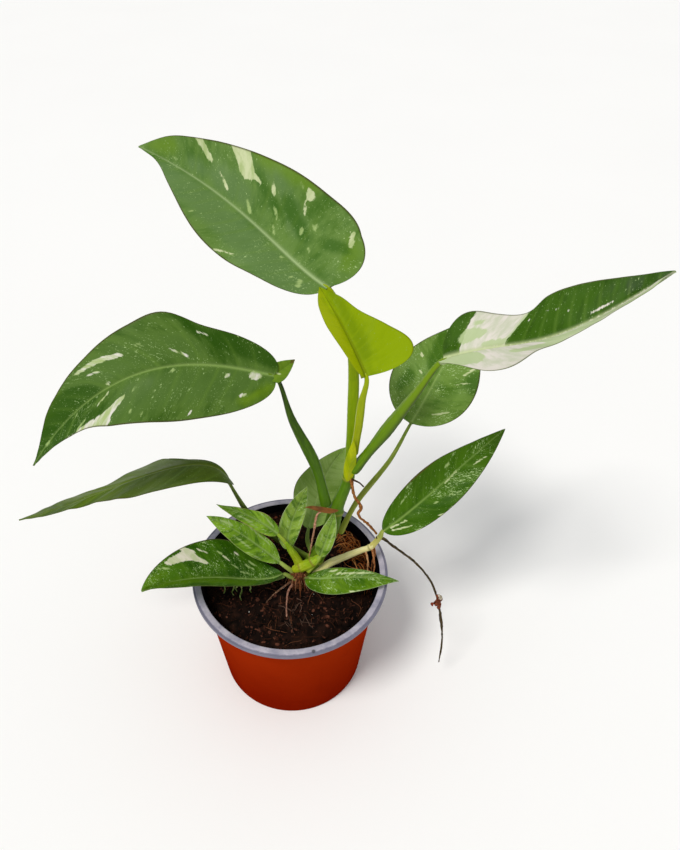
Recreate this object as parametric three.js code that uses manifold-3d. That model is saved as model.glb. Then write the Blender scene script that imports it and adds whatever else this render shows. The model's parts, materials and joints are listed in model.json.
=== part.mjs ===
// Potted white wizard philodendron: a nursery pot, its soil, the stems, the leaves and the roots.
// Millimetres, +Z up. The origin is the centre of the pot's underside; -Y is the front.
import * as THREE from 'three';
import { mergeVertices } from 'three/addons/utils/BufferGeometryUtils.js';
import Module from 'manifold-3d';

const wasm = await Module();
wasm.setup();

// Pot
const POT_HEIGHT = 88;
const RIM_RADIUS = 60;
const RIM_INNER_RADIUS = 54;
const RIM_DEPTH = 2.6;
const RIM_ROUND = 0.7;
const WALL_TOP_RADIUS = 54.6;
const WALL_BASE_RADIUS = 45.8;
const WALL_THICKNESS = 1.2;
const FLOOR_THICKNESS = 1.8;
const POT_SEGMENTS = 56;
const DRAIN_COUNT = 8;
const DRAIN_RADIUS = 3.2;
const DRAIN_CIRCLE = 30;
const DRAIN_SIDES = 16;

// Soil
const SOIL_LEVEL = 79.4;
const SOIL_BUMP = 0.7;
const SOIL_SHOULDER = 1;
const SOIL_SEGMENTS = 40;
const SOIL_RINGS = [0, 9, 18, 27, 36, 45];

// Clearance between pieces that touch
const GAP = 0.35;

// Leaf blades
const BLADE_THICKNESS = 0.8;
const BASE_ANGLE = 0.09;
const TIP_ANGLE = 0.2;
const LOBE_REACH = 0.62 * Math.PI;
const LOBE_PEAK = 6.75;
const VEIN_SWEEP = 1.5;
const VEIN_CURVE = 1.3;
const NORMAL_STEP = 0.004;
const LARGE_GRID = [14, 6];
const SMALL_GRID = [8, 4];

// Round stalks and roots
const STEM_SIDES = 12;
const STEM_STEPS = 22;
const RUNNER_STEPS = 12;
const PETIOLE_SIDES = 8;
const PETIOLE_STEPS = 10;
const ROOT_SIDES = 6;

const COLOURS = {
  terracotta: 0x9a2f12,
  soil: 0x2a1a12,
  stem: 0x4c7a1c,
  petiole: 0x7da02a,
  runner: 0xb9b884,
  leaf: 0x5f8a3c,
  darkLeaf: 0x47701f,
  newLeaf: 0x8fae14,
  youngLeaf: 0x6f9a34,
  paleLeaf: 0xb9bfa4,
  sheath: 0xa3ad33,
  drySheath: 0x9a6a3a,
  brownRoot: 0x8a5528,
  darkRoot: 0x2b2019,
  paleRoot: 0xb08a62,
};

const MAIN_STEM = {
  points: [
    [4, -3, 71], [8, -2, 86], [16, 2, 98], [24, 5, 117.7], [28, 6, 138.5], [33, 6, 157], [34.4, 6, 167],
  ],
  radii: [4.3, 4.3, 4.1, 3.9, 3.5, 2.8, 2.9],
};

const RUNNER_STEM = {
  points: [[17.1, -3.2, 91], [25, 1.5, 93], [34.3, 6, 93.6], [43, 8, 96.5], [49.2, 8, 100]],
  radii: [1.8, 1.9, 1.8, 1.6, 1.4],
};

// Each leaf: its midrib from base to tip, the way its upper face looks at the base and at the tip,
// its greatest half-width, and how its two halves (left and right of the midrib, seen from above
// with the tip ahead) differ. "widest" is the share of the length where the blade is widest,
// "lobes" how far the base reaches back, "folds" how steeply each half rises in degrees at the
// base and at the tip, and "spread" the width of each half at five stations as a share of its
// plain outline. "wave" is the margin's height, its waves along the blade and their phase.
const LEAVES = [
  {
    name: 'top_leaf',
    midrib: [[22, 28, 271], [-1, 42.3, 284.2], [-28.5, 59, 302], [-69.5, 74, 321.5]],
    faces: [[0.05, -0.68, 0.73], [-0.2, -0.7, 0.68]],
    halfWidth: 29,
    widest: 0.38,
    point: 0.9,
    lobes: [0, 0.14],
    folds: [[14, 14], [0, 0]],
    spread: [
      [0.7, 0.73, 0.82, 0.87, 0.87, 0.8, 0.64, 0.3, 0.3],
      [1.4, 1.31, 1.2, 1.12, 1.08, 1.08, 1.14, 1.32, 1.25],
    ],
    wave: [1.2, 2.2, 0.1],
    grid: LARGE_GRID,
    colour: COLOURS.leaf,
    petiole: [[35, 9, 169.3], [35.7, 18, 191], [35, 32.5, 230], [22.9, 30.2, 267.8]],
    radii: [2.5, 2.6, 2.2, 1.7],
  },
  {
    name: 'new_leaf',
    midrib: [[40.5, -2, 240], [33, 8.3, 251], [24.7, 19.6, 261.2], [11.6, 35, 269.4]],
    faces: [[0.1, -0.75, 0.6], [0.1, -0.6, 0.8]],
    halfWidth: 27,
    widest: 0.24,
    point: 1.1,
    lobes: [0, 0.05],
    folds: [[60, 40], [0, 0]],
    spread: [[0.55, 0.55, 0.65, 0.5, 0.5], [1.15, 0.76, 0.5, 0.3, 0.15]],
    wave: [0, 1, 0],
    grid: LARGE_GRID,
    colour: COLOURS.newLeaf,
    petiole: [[36.5, 5, 183.5], [38, 3, 201], [39, 0, 222], [40.4, -2, 238.6]],
    radii: [1.6, 1.7, 1.6, 1.4],
  },
  {
    name: 'right_leaf',
    midrib: [[76, -2, 251.3], [105.5, -2, 258.5], [133, 2, 264], [177, 10, 290.5]],
    faces: [[-0.1, -0.05, 1], [0, 0, 1]],
    halfWidth: 25,
    widest: 0.4,
    point: 0.8,
    lobes: [0, 0.07],
    folds: [[22, 22], [6, 34]],
    spread: [
      [1, 0.82, 0.61, 0.83, 0.95, 0.96, 0.85, 0.76, 0.7],
      [0.3, 0.95, 0.52, 0.3, 0.32, 0.38, 0.37, 0.38, 0.4],
    ],
    wave: [0.8, 2.4, 0.3],
    grid: LARGE_GRID,
    colour: COLOURS.paleLeaf,
    petiole: [[37.3, 3, 172.8], [53, -1, 206], [65, -4, 231.6], [74.5, -2.6, 248.5]],
    radii: [2.4, 3.1, 2.4, 1.8],
  },
  {
    name: 'round_leaf',
    midrib: [[69, 28, 183.5], [80.5, 44, 195], [92, 58, 210], [105.5, 68, 227]],
    faces: [[-0.1, -0.6, 0.8], [0.1, -0.6, 0.85]],
    halfWidth: 24,
    widest: 0.4,
    point: 0.8,
    lobes: [0.025, -0.015],
    folds: [[0, 0], [0, 0]],
    spread: [[1, 1, 0.85, 0.65, 0.55], [1, 1, 1, 1, 1]],
    wave: [0.8, 1.6, 0.2],
    grid: LARGE_GRID,
    colour: COLOURS.leaf,
    petiole: [[31, 8, 115], [39.5, 13, 134.5], [58.5, 22, 161], [68.6, 27.5, 182.2]],
    radii: [1.6, 1.7, 1.4, 1.1],
  },
  {
    name: 'low_right_leaf',
    midrib: [[56, 6, 117.5], [77.2, 13, 134.9], [99.4, 23.3, 153.2], [124.5, 34, 174]],
    faces: [[0, -0.7, 0.7], [0, -0.7, 0.7]],
    halfWidth: 15.5,
    widest: 0.4,
    point: 0.8,
    lobes: [0, 0],
    folds: [[6, 6], [8, 8]],
    spread: [[0.85, 0.89, 0.85, 0.71, 0.6], [0.92, 0.9, 0.93, 0.95, 0.9]],
    wave: [0.6, 2, 0],
    grid: LARGE_GRID,
    colour: COLOURS.darkLeaf,
    petiole: [[50.7, 8, 102.2], [53, 7.6, 107], [54.7, 7, 112], [55.7, 6.2, 116.2]],
    radii: [1.5, 1.5, 1.3, 1.1],
  },
  {
    name: 'left_leaf',
    midrib: [[-4, 2, 237.5], [-35.5, -4, 248.5], [-75, -14, 246], [-119.5, -30, 207.5]],
    faces: [[0, -0.75, 0.66], [-0.5, -0.5, 0.6]],
    halfWidth: 27,
    widest: 0.42,
    point: 0.8,
    lobes: [0.05, 0.05],
    folds: [[10, 10], [10, 10]],
    spread: [
      [0.95, 0.99, 1, 1, 0.97, 0.91, 0.82, 0.66, 0.56, 0.49, 0.4, 0.37, 0.35],
      [0.72, 0.69, 0.71, 0.93, 0.85, 0.8, 0.76, 0.74, 0.71, 0.65, 0.53, 0.38, 0.3],
    ],
    wave: [1.2, 1.8, 0.4],
    grid: LARGE_GRID,
    colour: COLOURS.leaf,
    petiole: [[21.5, 5, 143], [16, 6, 171.5], [4, 4, 207], [-3.4, 2.6, 235.3]],
    radii: [2.2, 2.5, 1.9, 1.3],
  },
  {
    name: 'low_left_leaf',
    midrib: [[-31.3, 6, 160], [-58.5, 7, 171], [-106, 6, 151], [-156, 2, 132.5]],
    faces: [[0, 0.3, 0.95], [0, 0.42, 0.9]],
    halfWidth: 22,
    widest: 0.34,
    point: 1,
    lobes: [0.02, 0.02],
    folds: [[-12, -12], [3, 3]],
    spread: [
      [0.66, 0.91, 0.88, 0.71, 0.51, 0.51, 0.6, 0.63, 0.6],
      [0.15, 0.36, 0.9, 0.7, 0.45, 0.76, 1.04, 1.3, 1.1],
    ],
    wave: [0.6, 1.5, 0],
    grid: LARGE_GRID,
    colour: COLOURS.darkLeaf,
    petiole: [[10, 7, 92], [-5, 9.5, 103.5], [-20.5, 12.5, 118.6], [-30.9, 6.4, 158.6]],
    radii: [1.6, 1.6, 1.4, 1.2],
  },
  {
    name: 'back_leaf',
    midrib: [[11, 18, 106], [15, 28, 116], [22, 36, 134.5], [34, 42, 152]],
    faces: [[-0.3, -0.7, 0.6], [-0.3, -0.7, 0.6]],
    halfWidth: 16,
    widest: 0.4,
    point: 0.9,
    lobes: [0, 0],
    folds: [[8, 8], [8, 8]],
    spread: [[0.9, 0.95, 0.8, 0.65, 0.6], [1, 1, 1, 1, 1]],
    wave: [0.5, 1.5, 0],
    grid: SMALL_GRID,
    colour: COLOURS.leaf,
    petiole: [[14, 7.5, 92], [12, 11, 95], [10.4, 14.5, 99.5], [10.8, 17.3, 104.8]],
    radii: [1.4, 1.4, 1.3, 1],
  },
  {
    name: 'front_left_leaf',
    midrib: [[-4, -7, 93], [-23.5, -12, 94.7], [-48.4, -19.7, 106.3], [-82.5, -32, 110.4]],
    faces: [[0.1, -0.1, 0.95], [-0.3, -0.2, 0.9]],
    halfWidth: 22,
    widest: 0.45,
    point: 0.7,
    lobes: [0, 0],
    folds: [[45, 42], [25, 25]],
    spread: [[0.7, 0.75, 0.9, 0.8, 0.5], [0.7, 0.98, 1.05, 1.05, 1.1]],
    wave: [0.8, 1.8, 0.3],
    grid: LARGE_GRID,
    colour: COLOURS.darkLeaf,
    petiole: [[3.6, -6.6, 87.3], [1.2, -7, 89.5], [-1, -7.1, 91.4], [-2.8, -7, 92.6]],
    radii: [1.4, 1.4, 1.3, 1.1],
  },
  {
    name: 'front_right_leaf',
    midrib: [[10.3, -8.9, 92], [24.3, -9, 91.7], [43.5, -10, 94], [65.5, -13, 94]],
    faces: [[0, -0.3, 0.9], [0, -0.3, 0.9]],
    halfWidth: 10,
    widest: 0.4,
    point: 0.9,
    lobes: [0, 0.06],
    folds: [[5, 5], [5, 5]],
    spread: [[0.65, 0.6, 0.5, 0.4, 0.4], [1.1, 1.05, 1, 0.9, 0.8]],
    wave: [0.4, 2, 0],
    grid: SMALL_GRID,
    colour: COLOURS.youngLeaf,
    petiole: [[9.4, -6.9, 87.5], [9.3, -7.7, 88.8], [9.2, -8.2, 90], [9.1, -8.4, 91]],
    radii: [0.9, 0.9, 0.8, 0.8],
  },
  {
    name: 'young_leaf_1',
    midrib: [[-6.5, 2, 119.5], [-17.5, 4, 128.7], [-28, 5.2, 134.9], [-41.5, 6.5, 140.4]],
    faces: [[0.2, -0.5, 0.8], [0, -0.5, 0.8]],
    halfWidth: 8,
    widest: 0.35,
    point: 1,
    lobes: [0, 0],
    folds: [[5, 5], [5, 5]],
    spread: [[1, 1, 1, 1, 1], [1, 0.85, 0.6, 0.5, 0.5]],
    wave: [0.4, 1.5, 0],
    grid: SMALL_GRID,
    colour: COLOURS.youngLeaf,
    petiole: [[6.5, -2.5, 93], [1.5, -1, 105], [-2, 0.6, 112.5], [-6, 1.8, 118.4]],
    radii: [1.6, 1.5, 1.3, 1.1],
  },
  {
    name: 'young_leaf_2',
    midrib: [[-5.7, -4, 100.7], [-18, -3, 114.5], [-30.5, -2, 127], [-46.5, 0, 137.5]],
    faces: [[0.1, -0.5, 0.8], [0, -0.5, 0.8]],
    halfWidth: 10,
    widest: 0.45,
    point: 0.9,
    lobes: [0, 0],
    folds: [[5, 5], [5, 5]],
    spread: [[1, 1, 1, 1, 1], [1, 0.9, 0.82, 0.82, 0.82]],
    wave: [0.4, 1.5, 0.5],
    grid: SMALL_GRID,
    colour: COLOURS.youngLeaf,
    petiole: [[3.3, -4.2, 90], [0.5, -4.4, 93.3], [-2.3, -4.3, 96.5], [-5, -4, 99.6]],
    radii: [1.4, 1.4, 1.3, 1.1],
  },
  {
    name: 'young_leaf_3',
    midrib: [[-1, 2.5, 104.6], [-0.2, 7.5, 115.5], [4, 12.5, 127.5], [10.7, 16.5, 144]],
    faces: [[-0.2, -0.7, 0.7], [0, -0.8, 0.6]],
    halfWidth: 9,
    widest: 0.4,
    point: 0.8,
    lobes: [0, 0],
    folds: [[10, 10], [10, 10]],
    spread: [[1, 1, 1, 1, 1], [1, 1, 1, 1, 1]],
    wave: [0.3, 1.5, 0],
    grid: SMALL_GRID,
    colour: COLOURS.youngLeaf,
    petiole: [[5.5, 2.5, 93], [3.6, 2.5, 96.5], [1.4, 2.4, 100], [-0.7, 2.2, 103.4]],
    radii: [1.4, 1.4, 1.3, 1.1],
  },
  {
    name: 'young_leaf_4',
    midrib: [[18.3, -5, 107.7], [21.8, -4.5, 121.7], [24.6, -3, 133.2], [26.2, -1, 143]],
    faces: [[-0.3, -0.7, 0.7], [0, -0.8, 0.6]],
    halfWidth: 5.5,
    widest: 0.4,
    point: 0.9,
    lobes: [0, 0],
    folds: [[25, 25], [25, 25]],
    spread: [[1, 1, 1, 1, 1], [1, 1, 1, 1, 1]],
    wave: [0, 1, 0],
    grid: SMALL_GRID,
    colour: COLOURS.youngLeaf,
    petiole: [[11.5, -6.5, 95.5], [14, -6, 99], [16.2, -5.5, 102.5], [18, -5.1, 106.5]],
    radii: [1.2, 1.2, 1.1, 0.9],
  },
];

// Two sheaths, small folded scales that once held a leaf
const SHEATHS = [
  {
    name: 'new_leaf_sheath',
    midrib: [[33, 1.6, 171], [33.1, 0.6, 179], [33.8, 0.6, 186], [35, 1, 193]],
    faces: [[-0.3, -0.95, 0], [-0.3, -0.95, 0]],
    halfWidth: 2.5,
    widest: 0.3,
    point: 0.7,
    lobes: [0, 0],
    folds: [[-25, -25], [-25, -25]],
    spread: [[1, 1, 1, 1, 1], [1, 1, 1, 1, 1]],
    wave: [0, 1, 0],
    grid: SMALL_GRID,
    colour: COLOURS.sheath,
  },
  {
    name: 'dry_sheath',
    midrib: [[22.3, 1, 134], [20, 0, 135.3], [17.5, 0, 136], [14.7, 0.5, 136]],
    faces: [[0, -0.7, 0.7], [0, -0.7, 0.7]],
    halfWidth: 2.6,
    widest: 0.35,
    point: 0.6,
    lobes: [0, 0],
    folds: [[-15, -15], [-15, -15]],
    spread: [[1, 1, 1, 1, 1], [1, 1, 1, 1, 1]],
    wave: [0, 1, 0],
    grid: SMALL_GRID,
    colour: COLOURS.drySheath,
  },
];

const ROOTS = [
  {
    name: 'brown_aerial_root',
    points: [
      [35.3, 1, 164.4], [37.2, 0, 155], [41.4, -1, 145.4],
      [39.9, -1, 140.4], [47.5, 2, 126.6], [52, 3.8, 119.5],
    ],
    radii: [1, 0.9, 1, 0.9, 0.9, 0.7],
    steps: 22,
    colour: COLOURS.brownRoot,
  },
  {
    name: 'root_stub',
    points: [[37.6, 0.3, 166.2], [39.7, -1.4, 166.2], [41.7, -3, 165.4]],
    radii: [0.6, 0.6, 0.45],
    steps: 5,
    colour: COLOURS.darkRoot,
  },
  {
    name: 'thin_aerial_root',
    points: [[15.5, 1, 131.5], [14.2, 1, 124.2], [12.9, 2, 108.4], [10.6, 2, 100]],
    radii: [0.5, 0.5, 0.5, 0.45],
    steps: 12,
    colour: COLOURS.paleRoot,
  },
  {
    name: 'long_aerial_root',
    points: [
      [57.2, 6.2, 110], [61.5, 5.4, 105.5], [67, 4, 101.2], [76, 0, 95.5], [85.5, -6, 85.7],
      [90.7, -10, 73], [94.6, -14, 55.2], [96.5, -18, 39], [96, -22, 19.4],
    ],
    radii: [0.8, 0.75, 0.7, 0.7, 0.7, 1.3, 0.7, 0.65, 0.5],
    steps: 40,
    colour: COLOURS.darkRoot,
  },
  {
    name: 'runner_root_1',
    points: [[50, 4.7, 97.2], [51.5, 3.3, 93], [51.8, 1.5, 88], [50.5, -0.5, 82.5]],
    radii: [0.7, 0.65, 0.6, 0.45],
    steps: 9,
    colour: COLOURS.brownRoot,
  },
  {
    name: 'runner_root_2',
    points: [[46.4, 4.4, 96], [47.8, 2.3, 92], [47.6, 1, 87.5], [48.6, -2.5, 82.7]],
    radii: [0.7, 0.65, 0.6, 0.45],
    steps: 9,
    colour: COLOURS.paleRoot,
  },
  {
    name: 'runner_root_3',
    points: [[52.8, 8.7, 97.3], [52.2, 7.7, 93], [51, 6.6, 88.5], [50.6, 4.6, 82.8]],
    radii: [0.6, 0.6, 0.55, 0.4],
    steps: 9,
    colour: COLOURS.brownRoot,
  },
  {
    name: 'soil_root_1',
    points: [[2.8, -6.3, 83.2], [-0.5, -10, 82.8], [-1.8, -18, 82], [-1.4, -30, 81.3]],
    radii: [0.8, 0.75, 0.7, 0.5],
    steps: 10,
    colour: COLOURS.paleRoot,
  },
  {
    name: 'soil_root_2',
    points: [[1.4, -4.2, 82.4], [-4.3, -8, 82], [-9, -12, 81.8], [-14.2, -18, 81.4]],
    radii: [0.7, 0.65, 0.6, 0.45],
    steps: 9,
    colour: COLOURS.paleRoot,
  },
];

function vector(point) {
  return new THREE.Vector3(...point);
}

// A curve that passes through a list of points
function route(points) {
  return new THREE.CatmullRomCurve3(points.map(vector), false, 'centripetal');
}

// The cubic curve through four points at its ends and its thirds
function midribCurve(points) {
  const [start, first, second, end] = points.map(vector);
  const nearStart = start.clone().multiplyScalar(-5).addScaledVector(first, 18);
  nearStart.addScaledVector(second, -9).addScaledVector(end, 2).divideScalar(6);
  const nearEnd = start.clone().multiplyScalar(2).addScaledVector(first, -9);
  nearEnd.addScaledVector(second, 18).addScaledVector(end, -5).divideScalar(6);
  return new THREE.CubicBezierCurve3(start, nearStart, nearEnd, end);
}

// A smooth value from a list spaced evenly over a share from 0 to 1
function station(values, share) {
  const place = THREE.MathUtils.clamp(share, 0, 1) * (values.length - 1);
  const index = Math.min(Math.floor(place), values.length - 2);
  const before = values[Math.max(index - 1, 0)];
  const from = values[index];
  const to = values[index + 1];
  const after = values[Math.min(index + 2, values.length - 1)];
  const t = place - index;
  const slope = (to - before) / 2;
  const bend = before - 2.5 * from + 2 * to - after / 2;
  const twist = (after - before) / 2 + 1.5 * (from - to);
  return from + t * (slope + t * (bend + t * twist));
}

// Keeps only the positions of a geometry and joins the vertices that coincide
function closedGeometry(geometry) {
  const bare = geometry.clone();
  bare.deleteAttribute('normal');
  bare.deleteAttribute('uv');
  const merged = mergeVertices(bare, 1e-4);
  merged.computeVertexNormals();
  return merged;
}

// Moves every vertex of a geometry to the place that a function gives
function mapVertices(geometry, place) {
  const position = geometry.attributes.position;
  const point = new THREE.Vector3();
  for (let i = 0; i < position.count; i += 1) {
    point.fromBufferAttribute(position, i);
    const moved = place(point);
    position.setXYZ(i, moved.x, moved.y, moved.z);
  }
  return closedGeometry(geometry);
}

function toSolid(geometry) {
  const merged = closedGeometry(geometry);
  const vertProperties = Float32Array.from(merged.attributes.position.array);
  const triVerts = Uint32Array.from(merged.index.array);
  return new wasm.Manifold(new wasm.Mesh({ numProp: 3, vertProperties, triVerts }));
}

function toGeometry(solid) {
  const mesh = solid.getMesh();
  const geometry = new THREE.BufferGeometry();
  geometry.setAttribute('position', new THREE.BufferAttribute(mesh.vertProperties, 3));
  geometry.setIndex(new THREE.BufferAttribute(mesh.triVerts, 1));
  geometry.computeVertexNormals();
  return geometry;
}

function cut(geometry, tools) {
  let solid = toSolid(geometry);
  for (const tool of tools) {
    solid = solid.subtract(toSolid(tool));
  }
  return toGeometry(solid);
}

// A round stalk along a curve, thick as its radii say, closed at both ends
function stalk(points, radii, sides, steps) {
  const curve = route(points);
  curve.arcLengthDivisions = 400;
  const frames = curve.computeFrenetFrames(steps, false);
  const cylinder = new THREE.CylinderGeometry(1, 1, 1, sides, steps);
  return mapVertices(cylinder, (point) => {
    const share = point.y + 0.5;
    const step = Math.round(share * steps);
    const radius = station(radii, share);
    const place = curve.getPointAt(THREE.MathUtils.clamp(share, 0, 1));
    place.addScaledVector(frames.binormals[step], point.x * radius);
    place.addScaledVector(frames.normals[step], point.z * radius);
    return place;
  });
}

// A point of a leaf's upper face: "along" runs from base to tip, "across" from the left margin
// (-1) over the midrib (0) to the right margin (1). The rows follow the side veins, which leave
// the midrib and sweep forward, or back into the lobes at the base.
function leafPoint(leaf, curve, along, across) {
  const half = across < 0 ? 0 : 1;
  const side = across < 0 ? -1 : 1;
  const reach = Math.abs(across);
  const angle = BASE_ANGLE + along * (Math.PI - BASE_ANGLE - TIP_ANGLE);
  const power = -Math.log(leaf.widest) / Math.log(leaf.point + 2);
  const marginShare = Math.sin(angle / 2) ** (2 * power);
  const peak = ((leaf.point + 1) / (leaf.point + 2)) ** ((leaf.point + 1) / 2);
  const plainWidth = Math.sin(angle) * Math.cos(angle / 2) ** leaf.point;
  const width = plainWidth / (2 * Math.sqrt(1 / (leaf.point + 2)) * peak);
  const lobeShare = THREE.MathUtils.clamp(angle / LOBE_REACH, 0, 1);
  const lobe = leaf.lobes[half] * LOBE_PEAK * lobeShare * (1 - lobeShare) ** 2;
  const veinShare = marginShare ** VEIN_SWEEP;
  const forward = veinShare + (marginShare - lobe - veinShare) * reach ** VEIN_CURVE;
  const share = THREE.MathUtils.clamp(forward, 0, 1);
  const tangent = curve.getTangentAt(share);
  const point = curve.getPointAt(share);
  point.addScaledVector(tangent, Math.min(forward, 0) * curve.getLength());
  const face = vector(leaf.faces[0]).normalize().multiplyScalar(1 - share);
  face.addScaledVector(vector(leaf.faces[1]).normalize(), share);
  face.addScaledVector(tangent, -face.dot(tangent)).normalize();
  const sideways = tangent.clone().cross(face);
  const distance = leaf.halfWidth * station(leaf.spread[half], veinShare) * width * reach;
  const [foldBase, foldTip] = leaf.folds[half];
  const fold = THREE.MathUtils.degToRad(foldBase + (foldTip - foldBase) * share);
  const [waveHeight, waves, phase] = leaf.wave;
  const turn = 2 * Math.PI * (waves * share + phase + 0.21 * side);
  const calm = THREE.MathUtils.clamp(4 * share * (1 - share), 0, 1);
  const rise = distance * Math.sin(fold) + waveHeight * reach ** 2 * Math.sin(turn) * calm;
  point.addScaledVector(sideways, side * distance * Math.cos(fold));
  point.addScaledVector(face, rise);
  return point;
}

// The direction that a leaf's upper face looks at one of its points
function leafNormal(leaf, curve, along, across) {
  const ahead = leafPoint(leaf, curve, along + NORMAL_STEP, across);
  const behind = leafPoint(leaf, curve, along - NORMAL_STEP, across);
  const right = leafPoint(leaf, curve, along, across + NORMAL_STEP);
  const left = leafPoint(leaf, curve, along, across - NORMAL_STEP);
  return right.sub(left).cross(ahead.sub(behind)).normalize();
}

function leafBlade(leaf) {
  const curve = midribCurve(leaf.midrib);
  const box = new THREE.BoxGeometry(1, 1, 1, leaf.grid[0], leaf.grid[1], 1);
  return mapVertices(box, (point) => {
    const along = point.x + 0.5;
    const across = -2 * point.y;
    const place = leafPoint(leaf, curve, along, across);
    const normal = leafNormal(leaf, curve, along, across);
    return place.addScaledVector(normal, point.z * BLADE_THICKNESS);
  });
}

function turned(points, segments) {
  const profile = points.map(([radius, height]) => new THREE.Vector2(radius, height));
  const geometry = new THREE.LatheGeometry(profile, segments);
  geometry.rotateX(Math.PI / 2);
  return geometry;
}

// Radius of the pot's outer wall at a height
function wallRadius(height) {
  const share = height / (POT_HEIGHT - RIM_DEPTH);
  return WALL_BASE_RADIUS + (WALL_TOP_RADIUS - WALL_BASE_RADIUS) * share;
}

function makePot() {
  const underRim = POT_HEIGHT - RIM_DEPTH;
  const profile = [
    [0, 0],
    [wallRadius(0) - RIM_ROUND, 0],
    [wallRadius(RIM_ROUND), RIM_ROUND],
    [wallRadius(underRim), underRim],
    [RIM_RADIUS - RIM_ROUND, underRim],
    [RIM_RADIUS, underRim + RIM_ROUND],
    [RIM_RADIUS, POT_HEIGHT - RIM_ROUND],
    [RIM_RADIUS - RIM_ROUND, POT_HEIGHT],
    [RIM_INNER_RADIUS + RIM_ROUND, POT_HEIGHT],
    [RIM_INNER_RADIUS, POT_HEIGHT - RIM_ROUND],
    [wallRadius(underRim) - WALL_THICKNESS, underRim],
    [wallRadius(FLOOR_THICKNESS) - WALL_THICKNESS, FLOOR_THICKNESS],
    [0, FLOOR_THICKNESS],
  ];
  const drains = [];
  for (let i = 0; i < DRAIN_COUNT; i += 1) {
    const angle = (2 * Math.PI * (i + 0.5)) / DRAIN_COUNT;
    const drain = new THREE.CylinderGeometry(DRAIN_RADIUS, DRAIN_RADIUS, 4 * FLOOR_THICKNESS, DRAIN_SIDES);
    drain.rotateX(Math.PI / 2);
    drain.translate(DRAIN_CIRCLE * Math.cos(angle), DRAIN_CIRCLE * Math.sin(angle), 0);
    drains.push(drain);
  }
  return cut(turned(profile, POT_SEGMENTS), drains);
}

// How far the soil's top stands above its level at a place
function soilBump(x, y) {
  return SOIL_BUMP * Math.sin(0.21 * x + 0.6) * Math.cos(0.17 * y - 0.09 * x);
}

function makeSoil() {
  const bottom = FLOOR_THICKNESS + GAP;
  const edge = (height) => wallRadius(height) - WALL_THICKNESS - GAP;
  const top = SOIL_RINGS.map((radius) => [radius, SOIL_LEVEL]).reverse();
  const shoulder = SOIL_LEVEL - SOIL_SHOULDER;
  const profile = [[0, bottom], [edge(bottom), bottom], [edge(shoulder), shoulder], ...top];
  const soil = mapVertices(turned(profile, SOIL_SEGMENTS), (point) => {
    const onTop = point.z > SOIL_LEVEL - SOIL_SHOULDER / 2;
    const height = onTop ? point.z + soilBump(point.x, point.y) : point.z;
    return new THREE.Vector3(point.x, point.y, height);
  });
  const [base, ...rest] = MAIN_STEM.points;
  const lowered = [[base[0], base[1], base[2] - GAP], ...rest];
  const widened = MAIN_STEM.radii.map((radius) => radius + GAP);
  return cut(soil, [stalk(lowered, widened, STEM_SIDES, STEM_STEPS)]);
}

const plant = new THREE.Group();

function addPiece(name, geometry, colour, roughness) {
  const material = new THREE.MeshStandardMaterial({ color: colour, roughness, metalness: 0 });
  const mesh = new THREE.Mesh(geometry, material);
  mesh.name = name;
  plant.add(mesh);
}

addPiece('pot', makePot(), COLOURS.terracotta, 0.45);
addPiece('soil', makeSoil(), COLOURS.soil, 0.95);
addPiece('main_stem', stalk(MAIN_STEM.points, MAIN_STEM.radii, STEM_SIDES, STEM_STEPS), COLOURS.stem, 0.5);
const runner = stalk(RUNNER_STEM.points, RUNNER_STEM.radii, PETIOLE_SIDES, RUNNER_STEPS);
addPiece('runner_stem', runner, COLOURS.runner, 0.5);
for (const leaf of LEAVES) {
  const petiole = stalk(leaf.petiole, leaf.radii, PETIOLE_SIDES, PETIOLE_STEPS);
  addPiece(`${leaf.name}_petiole`, petiole, COLOURS.petiole, 0.45);
  addPiece(`${leaf.name}_blade`, leafBlade(leaf), leaf.colour, 0.4);
}
for (const sheath of SHEATHS) {
  addPiece(sheath.name, leafBlade(sheath), sheath.colour, 0.6);
}
for (const root of ROOTS) {
  addPiece(root.name, stalk(root.points, root.radii, ROOT_SIDES, root.steps), root.colour, 0.85);
}

export default plant;
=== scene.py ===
"""The looks of a potted climbing plant: its pot, soil, stems, stalks, leaves, sheaths and roots.

The tables hold millimetres in the CAD frame, +Z up, with the origin under the pot's centre. The
front is -Y. MM turns them into metres.
"""
import itertools
import json
import math

import bpy
import numpy as np
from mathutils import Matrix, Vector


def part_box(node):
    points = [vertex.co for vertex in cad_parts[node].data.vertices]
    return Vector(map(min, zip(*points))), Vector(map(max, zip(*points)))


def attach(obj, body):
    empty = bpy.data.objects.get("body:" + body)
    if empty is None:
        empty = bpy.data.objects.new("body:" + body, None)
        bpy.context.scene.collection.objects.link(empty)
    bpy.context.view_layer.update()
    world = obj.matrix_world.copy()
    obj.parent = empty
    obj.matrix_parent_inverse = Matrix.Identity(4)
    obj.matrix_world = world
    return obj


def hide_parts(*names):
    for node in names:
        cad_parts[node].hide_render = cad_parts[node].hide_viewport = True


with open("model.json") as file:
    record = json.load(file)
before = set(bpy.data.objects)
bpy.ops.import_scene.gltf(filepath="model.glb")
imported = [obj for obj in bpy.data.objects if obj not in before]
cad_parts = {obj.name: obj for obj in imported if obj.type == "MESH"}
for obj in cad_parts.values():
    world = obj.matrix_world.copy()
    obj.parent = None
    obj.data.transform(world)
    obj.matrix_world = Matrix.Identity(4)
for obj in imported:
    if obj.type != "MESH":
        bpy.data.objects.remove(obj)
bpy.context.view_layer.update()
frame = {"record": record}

MM = 0.001

# Camera: where it stands, how far it looks up from straight down, and its lens in the photograph's
# pixels, with the picture's centre this far to the right of the lens's axis
CAMERA_PLACE = (18.3, -286.33, 460.82)
CAMERA_TILT = 48.45
FOCAL_PIXELS = 750
FRAME_HEIGHT = 850
SENSOR = 36
CENTRE_SHIFT = 20

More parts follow.
